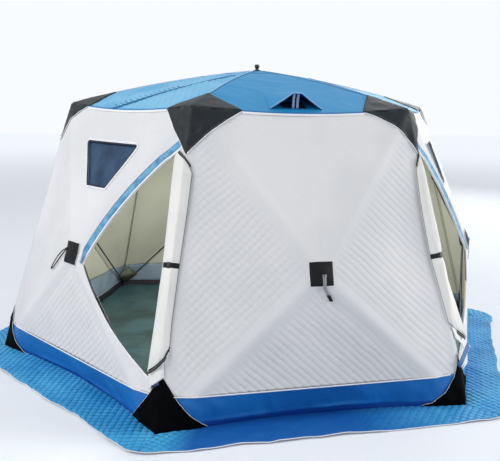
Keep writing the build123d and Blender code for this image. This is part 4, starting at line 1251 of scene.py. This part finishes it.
# Up each roll: heights, and where its open edge and its zip lie across the seam
ROLLS = {
    "left": (
        (0.322, 0.350, 0.375, 0.400, 0.450, 0.600, 0.860, 0.970, 1.130, 1.300, 1.400, 1.445, 1.480, 1.515),
        (0.092, 0.090, 0.089, 0.088, 0.085, 0.077, 0.068, 0.067, 0.067, 0.068, 0.069, 0.069, 0.068, 0.062),
        (0.080, 0.038, 0.010, -0.012, -0.024, -0.022, -0.028, -0.032, -0.038, -0.042, -0.044, -0.022, 0.008, 0.050),
    ),
    "right": (
        (0.372, 0.400, 0.436, 0.500, 0.600, 0.750, 0.880, 0.970, 1.100, 1.230, 1.390, 1.445, 1.480, 1.515),
        (0.155, 0.148, 0.138, 0.122, 0.096, 0.060, 0.044, 0.042, 0.040, 0.038, 0.034, 0.032, 0.031, 0.030),
        (0.146, 0.104, 0.046, -0.018, -0.026, -0.040, -0.052, -0.054, -0.052, -0.048, -0.036, -0.018, 0.002, 0.020),
    ),
}
ROLL_HIGH = (0.004, 0.010, 0.016, 0.021, 0.026, 0.028, 0.030, 0.030, 0.029, 0.027, 0.023, 0.016, 0.010, 0.004)
# The hanging end's corners, up and across: near and low, near and high, far and low, far and high
CLOTH_ENDS = {
    "left": ((0.232, 0.070), (0.318, 0.088), (0.306, -0.014), (0.384, -0.004)),
    "right": ((0.300, 0.165), (0.374, 0.160), (0.400, 0.024), (0.474, -0.008)),
}
TIE_HEIGHT = 0.894
LOW_ZIP, HIGH_ZIP = 0.46, 1.425
FINE = 0.010
END_ROWS, END_COLUMNS = 16, 14
# The trim's three tapes: gap to the opening, width, rise and finish
DOOR_TAPES = ((0.006, 0.011, 0.0046, 1), (0.0310, 0.040, 0.0036, 0), (0.0530, 0.004, 0.0044, 1))
# Small bars along a line: how far apart, how long and how thick
ZIP_TEETH, STITCH = (0.0042, 0.0026, 0.0022), (0.0075, 0.0045, 0.0006)
SEAM_STITCH, QUILT_STITCH = (0.034, 0.024, 0.0034), (0.034, 0.022, 0.0026)


def roll_section(up, share, wall, seed):
    """A point on the outside of the rolled door cloth, from its open edge (0) to its zip (1)."""
    heights, door, back = ROLLS[wall]
    door, back, high = (np.interp(up, heights, table) for table in (door, back, ROLL_HIGH))
    across = door + (back - door) * share
    round_off = ramp(1 - np.abs(2 * share - 1) ** 2.6) ** 0.55
    base = 0.004 + (0.034 * (1 - share) * ramp(0.75 - up, 0.35) if wall == "right" else 0)
    tie = 1 - 0.30 * bell(up - TIE_HEIGHT, 0.030)
    layer = 0.0030 * bell(share - 0.24, 0.05) - 0.0040 * bell(share - 0.80, 0.05)
    where = joined(up / 0.16 + share * 1.2, share / 0.35)
    folds = 0.0045 * rough(where, 1.0, seed) + 0.0020 * rough(where * 3, 1.0, seed + 1)
    peak = fall * np.maximum(0, 0.05 - np.abs(across)) * 0.15
    body = (high + peak) * round_off * tie
    return across, base + body + (layer + folds.reshape(across.shape) * round_off) * ramp(high, 0.03)


edges, zips, ties, teeth_lines = Bundle(), Bundle(), Bundle(), []
for turn, name in ((1, "right"), (5, "left")):
    flipped = name == "right"
    section = {"wall": name, "seed": 300 + turn}

    def placed(up, across, out):
        return placed_at(by_seam(up, across, out), turn, flipped)

    foot, head = ROLLS[name][0][0], ROLLS[name][0][-1]
    share, up = np.meshgrid((1 - np.cos(np.linspace(0, pi, 30))) / 2, np.linspace(foot, head, 150))
    across, out = roll_section(up, share, **section)
    outside, behind = placed(up, across, out), placed(up, across, 0.0015)
    points, faces = swept(np.concatenate([outside, behind[:, ::-1]], axis=1))
    if not flipped:
        faces = [face[::-1] for face in faces]
    place = joined(np.hstack([share, share[:, ::-1]]) * 0.2, np.hstack([up, up]))
    roll = mesh_piece(f"{name}_door_roll", points, faces, (FINISHES["off_white_flap_cloth"],), place)
    bpy.context.view_layer.update()
    stand_for(roll, "flap_fabric", f"{name}_door_flap")

    # The open edge's hem and the zip, single up the roll and double at its foot
    line = np.linspace(foot, head, 160)
    low, high = line < LOW_ZIP, line > HIGH_ZIP
    across, out = roll_section(line, 0.03, **section)
    edges.add(tube(placed(line, across + 0.002, out), 0.0032), 1)
    zip_across = roll_section(line, 0.97, **section)[0] - 0.004
    zip_out = 0.008 + 0.022 * ramp(0.45 - line, 0.06)
    back_line, way = placed(line, zip_across, zip_out), placed_at(seam_out, turn, flipped)
    zips.add(ribbon(back_line, way, 0.004, 0.002), 2)
    zips.add(ribbon(back_line[high], way, 0.015, 0.0025), 0)
    for shift in (-0.0075, 0.0075):
        zips.add(ribbon(placed(line + shift, zip_across, zip_out + 0.002)[low], way, 0.0075, 0.0025), 0)
    zips.add(ribbon(back_line[low], way, 0.014, 0.0015), 1)
    teeth_lines += [back_line[zipped] + way * 0.0035 for zipped in (low, high)]

    # The white end of the door cloth hangs below the zip
    part, rise = np.meshgrid(np.linspace(0, 1, END_COLUMNS), np.linspace(0, 1, END_ROWS))
    near_low, near_top, far_low, far_top = np.array(CLOTH_ENDS[name])[:, :, None, None]
    bottom_edge = near_low * (1 - part) + far_low * part
    top_edge = near_top * (1 - part) + far_top * part
    end_up, aside = bottom_edge * (1 - rise) + top_edge * rise
    lumps = rough(joined(end_up, aside), 0.05, 91).reshape(END_ROWS, END_COLUMNS)
    tail = placed(end_up, aside, 0.009 + 0.010 * np.sin(part * pi) + 0.0025 * lumps)
    faces = grid_faces(END_ROWS, END_COLUMNS)
    if not flipped:
        faces = faces[:, ::-1]
    place, linings = joined(part * 0.1, end_up), (FINISHES["off_white_flap_cloth"],)
    cloth_end = mesh_piece(f"{name}_door_cloth_end", tail.reshape(-1, 3), faces, linings, place)
    stand_for(thickened(cloth_end, 0.003), "flap_fabric")
    for hem in (tail[0], tail[:, 0]):
        edges.add(tube(hem, 0.0022), 1)

    # The strap round the roll, and its buckle
    across, out = roll_section(TIE_HEIGHT, np.linspace(0.0, 1.0, 26), **section)
    line = by_seam(TIE_HEIGHT, across, out + 0.0008)
    normal = np.cross(np.gradient(line, axis=0), seam_way)
    normal *= np.sign(normal @ seam_out)[:, None]
    line, normal = placed_at(line, turn, flipped), placed_at(normal, turn, flipped)
    ties.add(ribbon(line, normal, 0.028, 0.0022, 0.0006))
    ties.add(ribbon(line[9:15], normal[9:15], 0.033, 0.0045, 0.001), 1)

    # Round the opening: the trim's three tapes, the hem, and the zip along the lower edge
    upper_edge, lower_edge = (np.array(edge) for edge in door_edges(FINE))
    upper_edge = np.vstack([upper_edge, DOOR_TIP])
    ahead = unit(upper_edge[0] - upper_edge[4])
    upper_edge = np.vstack([*(upper_edge[0] + ahead * d for d in (0.05, 0.035, 0.02, 0.01)), upper_edge])
    way = ways_along(upper_edge, False)
    away = joined(-way[:, 1], way[:, 0])
    if away[60] @ (upper_edge[60] - DOOR_BOTTOM) < 0:
        away = -away
    count = len(upper_edge)
    taper = np.clip(np.linspace(count, 0, count) / 8, 0.25, 1)
    tucked = ramp(np.arange(count) - 11, 4)
    for gap, width, rise, finish in DOOR_TAPES:
        flat = upper_edge + away * (gap * (0.4 + 0.6 * taper))[:, None]
        points, ways = on_wall("side", flat, turn, flipped, 0.0028 * tucked - 0.0030 * (1 - tucked))
        edges.add(ribbon(points, ways, width * taper, rise, 0.0015 if finish else 0.003), finish)
    loop = door_loop(FINE)
    edges.add(tube(on_wall("side", loop, turn, flipped)[0], 0.0032, closed=True), 1)
    lower_edge = lower_edge[:24]
    inward = unit(loop.mean(axis=0) - lower_edge)
    points, ways = on_wall("side", lower_edge + inward * 0.007, turn, flipped, -0.005)
    zips.add(ribbon(points, ways, 0.010, 0.0016), 0)
    teeth_lines.append(points + ways * 0.002)
edges.piece("door_edges", ("light_blue_tape", "white_edging"), "trim_fabric", "door_trims")
zips.piece("door_zip_tapes", ("black_zip_tape", "white_edging", "grey_seam_thread"), "webbing")
ties.piece("door_tie_straps", ("black_webbing", "black_nylon"), "webbing", "door_ties")
repeat_along("zip_teeth", teeth_lines, "grey_zip_teeth", "webbing", *ZIP_TEETH)

# Stitches: along the patches, the eaves and the window bindings
dark_lines, eave_lines = [], []
for turn, name in enumerate(SIDES):
    flat = inset_loop(sum(eave_sides(turn), []), 0.009)
    points, ways = laid_on(flat, corner_axes(turn), cloths_by(turn, "wall", "roof"), 0.0100)
    dark_lines.append(points[30:-30])
    across = np.linspace(-0.97, 0.97, 120)
    for drop in (0.022, 0.028):
        height = top_corner[2] - drop - EAVE_SAG * (1 - across**2)
        line = joined(across * top_corner[0], top_corner[1], height)
        eave_lines.append(pressed_on(turned(line, turn), trees_of(f"{name}_wall_cloth"), 0.0006)[0])
repeat_along("light_stitches", eave_lines + light_lines, "grey_seam_thread", "trim_fabric", *STITCH)
repeat_along("dark_stitches", dark_lines, "grey_seam_thread", "patch_fabric", *STITCH)

# Seams inside: a black tape where the floor is sewn in, an olive tape up each corner, and its toggle
GUSSET_HALF, GUSSET_FOOT, GUSSET_HIGH = 0.092, 0.030, 0.165
GUSSET_ROWS, GUSSET_COLUMNS = 12, 17
inner, gussets = Bundle(), []
for turn in range(6):
    x = np.linspace(-1, 1, 80) * (foot_corner[0] - 0.012)
    line = turned(joined(x, foot_curve(x, 0.017), 0.024), turn)
    inner.add(ribbon(line, turned((0, 0.86, 0.5), turn), 0.040, 0.002, 0.001), 0)
    up = np.linspace(0.20, 1.66, 60)
    line = by_seam(up, 0, -0.016 + 0.0015 * rough(joined(up), 0.1, turn))
    inner.add(ribbon(turned(line, turn), turned(-seam_out, turn), 0.0045, 0.002), 1)
    knot = by_seam(np.linspace(1.20, 1.235, 7), 0, -0.022)
    inner.add(tube(turned(knot, turn), 0.008 * np.array((0.3, 0.8, 1, 1, 1, 0.8, 0.3)), 8), 0)
    # A mesh gusset closes the corner over the floor
    right, above, out = turned([corner_right, (0, 0, 1), corner_out], turn)
    part, high = np.meshgrid(np.linspace(-1, 1, GUSSET_COLUMNS), np.linspace(0, 1, GUSSET_ROWS))
    wide = GUSSET_HALF * (1 - np.abs(2 * high - 1) ** 1.3) + 0.006
    deep = np.linalg.norm(base_corner[:2]) - 0.034 - 0.066 * high - 0.62 * wide
    lumps = rough(joined(part, high), 0.5, 95 + turn).reshape(GUSSET_ROWS, GUSSET_COLUMNS)
    deep = deep - 0.006 * lumps - 0.012 * (1 - part**2) * (1 - high)
    points = joined(part * wide, GUSSET_FOOT + GUSSET_HIGH * high, deep) @ (right, above, out)
    squares = grid_faces(GUSSET_ROWS, GUSSET_COLUMNS)
    faces = np.concatenate([squares[:, [0, 1, 2]], squares[:, [0, 2, 3]]])
    gussets.append((points, faces, joined(part * wide, high * 0.25)))
inner.piece("inside_seam_tapes", ("black_zip_tape", "olive_seam_tape"), "webbing")
gusset = copies_piece("corner_gussets", gussets, FINISHES["olive_gusset_mesh"])
stand_for(thickened(gusset, 0.0015), "mesh_cloth")

# A doubled pull strap hangs from each hub patch; on the left wall it has fallen open into a loop
straps = Bundle()
LOOP_REACH, LOOP_HALF, LOOP_LEAN = 0.235, 0.026, radians(203)
STRAP_LONG, STRAP_APART, STRAP_TURN, GREY_PART = 0.150, 0.0052, 0.075, 22
for turn, name in enumerate(SIDES):
    trees = trees_of(f"{name}_wall_cloth")
    if name == "left":
        angle = np.linspace(0, 2 * pi, 60)
        run = LOOP_REACH * (1 - np.cos(angle)) / 2
        aside = LOOP_HALF * np.sin(angle) * (0.3 + 0.7 * np.sin(angle / 2) ** 2)
        x = -0.045 + run * cos(LOOP_LEAN) - aside * sin(LOOP_LEAN)
        z = 0.020 + run * sin(LOOP_LEAN) + aside * cos(LOOP_LEAN) - 0.30 * run**2 / LOOP_REACH
        straps.add(tube(pressed_on(turned(hub + joined(x, 0, z), turn), trees, 0.012)[0], 0.0036), 1)
        continue
    for aside in (-STRAP_APART, STRAP_APART):
        length = np.linspace(0, STRAP_LONG, 30)
        x = 0.010 + aside + length * 0.10 + ramp(length - STRAP_TURN, STRAP_TURN) * 0.030
        line = hub + joined(x, 0, -0.004 - length * 0.985)
        points, ways = pressed_on(turned(line, turn), trees, 0.009)
        grey, black = slice(GREY_PART + 1), slice(GREY_PART, None)
        straps.add(ribbon(points[grey], ways[grey], 0.0090, 0.003, 0.001), 0)
        straps.add(ribbon(points[black], ways[black], 0.0100, 0.004, 0.001), 1)
    eye = turned([hub + (0.010, 0, 0)] * 3, turn)
    (centre, *_), (out, *_) = pressed_on(eye, trees, 0.008)
    across = unit(np.cross(out, (0, 0, 1)))
    angle = np.linspace(0, 2 * pi, 17)[:-1, None]
    ring = centre + 0.008 * (np.cos(angle) * across + np.sin(angle) * np.cross(across, out)) + out * 0.001
    straps.add(tube(ring, 0.0022, closed=True), 1)
straps.piece("pull_loops", ("grey_webbing", "black_webbing"), "webbing", "pull_straps")

# The roof vent: a flap of the roof's own cloth, propped open at the eave end over a mesh
VENT_START, VENT_DEEP, VENT_RISE, VENT_HALF, PROP_IN = -1.055, 0.300, 0.094, 0.158, 0.016
roof_up = np.array((0, -sin(roof_slope), cos(roof_slope)))


def vent_height(across, deep):
    """The flap's height: straight slopes to a blunt peak across it, falling towards its hinge."""
    return VENT_RISE * (1 - deep) ** 1.25 * ramp(1 - np.abs(across), 0.83) ** 1.05


across, deep = np.meshgrid(np.linspace(-1, 1, 45), np.linspace(0, 1, 24))
plan = joined(VENT_SHIFT + across * (VENT_HALF - 0.035 * deep), VENT_START + VENT_DEEP * deep)
lift = 0.0012 * rough(joined(across, deep), 0.35, 61)
points = on_roof(plan) + roof_up * (vent_height(across, deep).ravel() + lift + 0.002)[:, None]
place = joined(across * VENT_HALF, deep * VENT_DEEP)
none = np.zeros(len(points))
# smooth_cloth gives the vent flap the front panel's painted shade.
marks = {"smooth_cloth": none + 1, "falling_rows": none, "rising_rows": none}
# The flap's inner side is navy as a painted shade for the dark vent mouth.
linings = (roof_outside, FINISHES["navy_painted_shade"])
hood = mesh_piece("vent_flap", points, grid_faces(24, 45), linings, place, marks)
stand_for(thickened(hood, 0.003, 1), "roof_fabric", "vent_hood")
rim, props = Bundle(), Bundle()
rim.add(tube(points[:45] + (0, -0.002, 0), 0.0045))
rim.piece("vent_flap_rim", ("pale_blue_tape",), "trim_fabric")
height = np.linspace(0, 1, 12)[:, None]
for shift in (-0.0125, 0.0125):
    foot = on_roof([(VENT_SHIFT + shift, VENT_START + PROP_IN)])[0] + roof_up * 0.001
    head = vent_height(shift / VENT_HALF, PROP_IN / VENT_DEEP) - 0.004
    line = foot + roof_up * head * height + (0, 0.004, 0) * np.sin(height * pi)
    props.add(ribbon(line, (0, -0.98, -0.2), 0.015, 0.0025, 0.0006))
props.piece("vent_props", ("grey_blue_prop",), "webbing", "vent_struts")
plan, faces = fill(inset_loop(loop_of(VENT_HOLE, 0.01), -0.004), [], 0.012)
net = mesh_piece("vent_net", on_roof(plan) - roof_up * 0.004, faces, (FINISHES["insect_mesh"],), plan)
stand_for(thickened(net, 0.0012), "mesh_cloth", "vent_mesh")

# Seams on the roof: ridge tapes, a ring near the peak, and a doubled seam across each padded panel
RING_AT, SEAM_FOOT_Y, SEAM_FOOT_X, SEAM_SLANT = 0.205, -1.115, -0.134, 0.335
seams, dashes, ticks = Bundle(), [], []


def seam_x(y):
    """Where the doubled seam crosses a roof panel."""
    return SEAM_FOOT_X + (y - SEAM_FOOT_Y) * SEAM_SLANT


for turn, name in enumerate(SIDES):
    y = -np.linspace(0.045, EAVE_REACH - 0.245, 60)
    ridge = on_roof(joined(-y * tan(HALF), y)) + (0, 0, 0.0015)
    ridge_up = turned((sin(HALF) * 0.2, -cos(HALF) * 0.2, 0.98), turn)
    seams.add(ribbon(turned(ridge, turn), ridge_up, 0.011, 0.0015, 0.0008), 0)
    ring = on_roof(joined(np.linspace(-1, 1, 30) * RING_AT * tan(HALF), -RING_AT)) + (0, 0, 0.002)
    up = turned(roof_up, turn)
    seams.add(ribbon(turned(ring, turn), up, 0.005, 0.0015), 1)
    if name == "front":
        continue
    for shift in (0.0, 0.028):
        y = -np.linspace(1.105, 0.36, 60)
        line = on_roof(joined(seam_x(y) + shift, y)) + (0, 0, 0.0035)
        seams.add(ribbon(turned(line, turn), up, 0.004, 0.002), 1)
        dashes.append(turned(line + (0, 0, 0.002), turn))
    for step in range(1, 15):
        y, run = -1.105 + step * 0.030, np.linspace(0, 0.07, 6)
        tick = joined(seam_x(y) - 0.012 - run * 0.9, y + run * 0.35)
        ticks.append(turned(on_roof(tick) + (0, 0, 0.004), turn))
repeat_along("roof_seam_stitches", dashes, "dark_blue_thread", "trim_fabric", *SEAM_STITCH)
repeat_along("roof_quilt_stitches", ticks, "dark_blue_thread", "trim_fabric", *QUILT_STITCH)
seams.piece("roof_seams", ("pale_blue_tape", "deep_blue_hem"), "trim_fabric")

# A blue and white strap and a navy tab at the doors' feet
tabs = Bundle()
length = np.linspace(0, 1, 14)
for aside, width, finish in ((0.0, 0.036, 0), (0.023, 0.010, 1)):
    up = 0.335 - 0.090 * length - aside * 0.5
    line = by_seam(up, 0.130 - 0.150 * length + aside, 0.052 - 0.034 * length)
    tabs.add(ribbon(placed_at(line, 1, True), placed_at(seam_out, 1, True), width, 0.002, 0.0005), finish)
line = by_seam(0.246 + 0.068 * length[:6], 0.052 - 0.120 * length[:6], 0.020)
tabs.add(ribbon(turned(line, 5), turned(seam_out, 5), 0.014, 0.002), 2)
tabs.piece("door_foot_straps", ("blue_strap_tape", "white_edging", "navy_tape"), "webbing")

# Plain finishes on the pieces that stay as they are
for name in ("wall_hubs", "roof_hub", "corner_sockets", "roof_cap", "wall_rods", "roof_rods"):
    cad[name].data.materials.clear()
    finish = "black_fibreglass" if name.endswith("rods") else "black_nylon"
    cad[name].data.materials.append(FINISHES[finish])


# Floor, light and camera
SOFTBOXES = (
    ("key_softbox", (-6.5, -3.0, 6.4), 5.0, 440.0, (1.0, 0.975, 0.945)),
    ("fill_softbox", (8.2, -2.6, 3.2), 5.0, 470.0, (1.0, 0.975, 0.945)),
    ("rear_softbox", (6.0, 6.0, 5.0), 5.0, 230.0, (1.0, 0.99, 0.98)),
    ("cabin_glow", (0.0, 0.0, 1.45), 1.2, 60.0, (1.0, 1.0, 0.97)),
)


def stage():
    bpy.ops.mesh.primitive_plane_add(size=60, location=(0, 0, 0))
    floor = bpy.context.object
    floor.name = "pale_floor"
    make = Finish("pale_floor", 0.9)
    make.shader["Base Color"].default_value = colour("#D5DAE2")
    make.shader["Emission Color"].default_value = (0.93, 0.96, 1, 1)
    x, y, _ = make.xyz(make.place)
    away = make.math("POWER", make.plus(make.math("POWER", x, 2.0), make.math("POWER", y, 2.0)), 0.5)
    glow = make.plus(make.times(make.span(away, 4.0, 22.0), 0.42), 0.13)
    make.put(make.shader["Emission Strength"], make.times(make.seen(), glow))
    floor.data.materials.append(make.material)

    world = bpy.data.worlds.new("soft_sky")
    bpy.context.scene.world = world
    world.use_nodes = True
    wire = Wires(world.node_tree)
    sky = world.node_tree.nodes["Background"].inputs
    sky["Color"].default_value = (0.945, 0.967, 1.0, 1.0)
    wire.put(sky["Strength"], wire.plus(wire.times(wire.seen(), 0.48), 0.52))

    for name, place, size, power, tone in SOFTBOXES:
        lamp = bpy.data.lights.new(name, "AREA")
        lamp.size, lamp.energy, lamp.color = size, power, tone
        holder = in_scene(name, lamp)
        holder.location = place
        holder.rotation_euler = (Vector((0, 0, 0.9)) - Vector(place)).to_track_quat("-Z", "Y").to_euler()


def camera():
    yaw, pitch, roll = 0.2385, 0.1844, 0.0164
    ahead = Vector((sin(yaw) * cos(pitch), cos(yaw) * cos(pitch), -sin(pitch)))
    flat_right = Vector((cos(yaw), -sin(yaw), 0))
    flat_up = flat_right.cross(ahead)
    right = flat_right * cos(roll) + flat_up * sin(roll)
    above = flat_up * cos(roll) - flat_right * sin(roll)
    lens = bpy.data.cameras.new("view")
    lens.sensor_fit, lens.sensor_width, lens.lens = "HORIZONTAL", 36.0, 50.41
    axes = Matrix((right, above, -ahead)).transposed().to_4x4()
    axes.translation = Vector((-1.2411, -4.9734, 1.7344))
    holder = in_scene("view", lens)
    holder.matrix_world = axes
    bpy.context.scene.camera = holder


stage()
camera()
bpy.context.scene.view_settings.view_transform = "Standard"
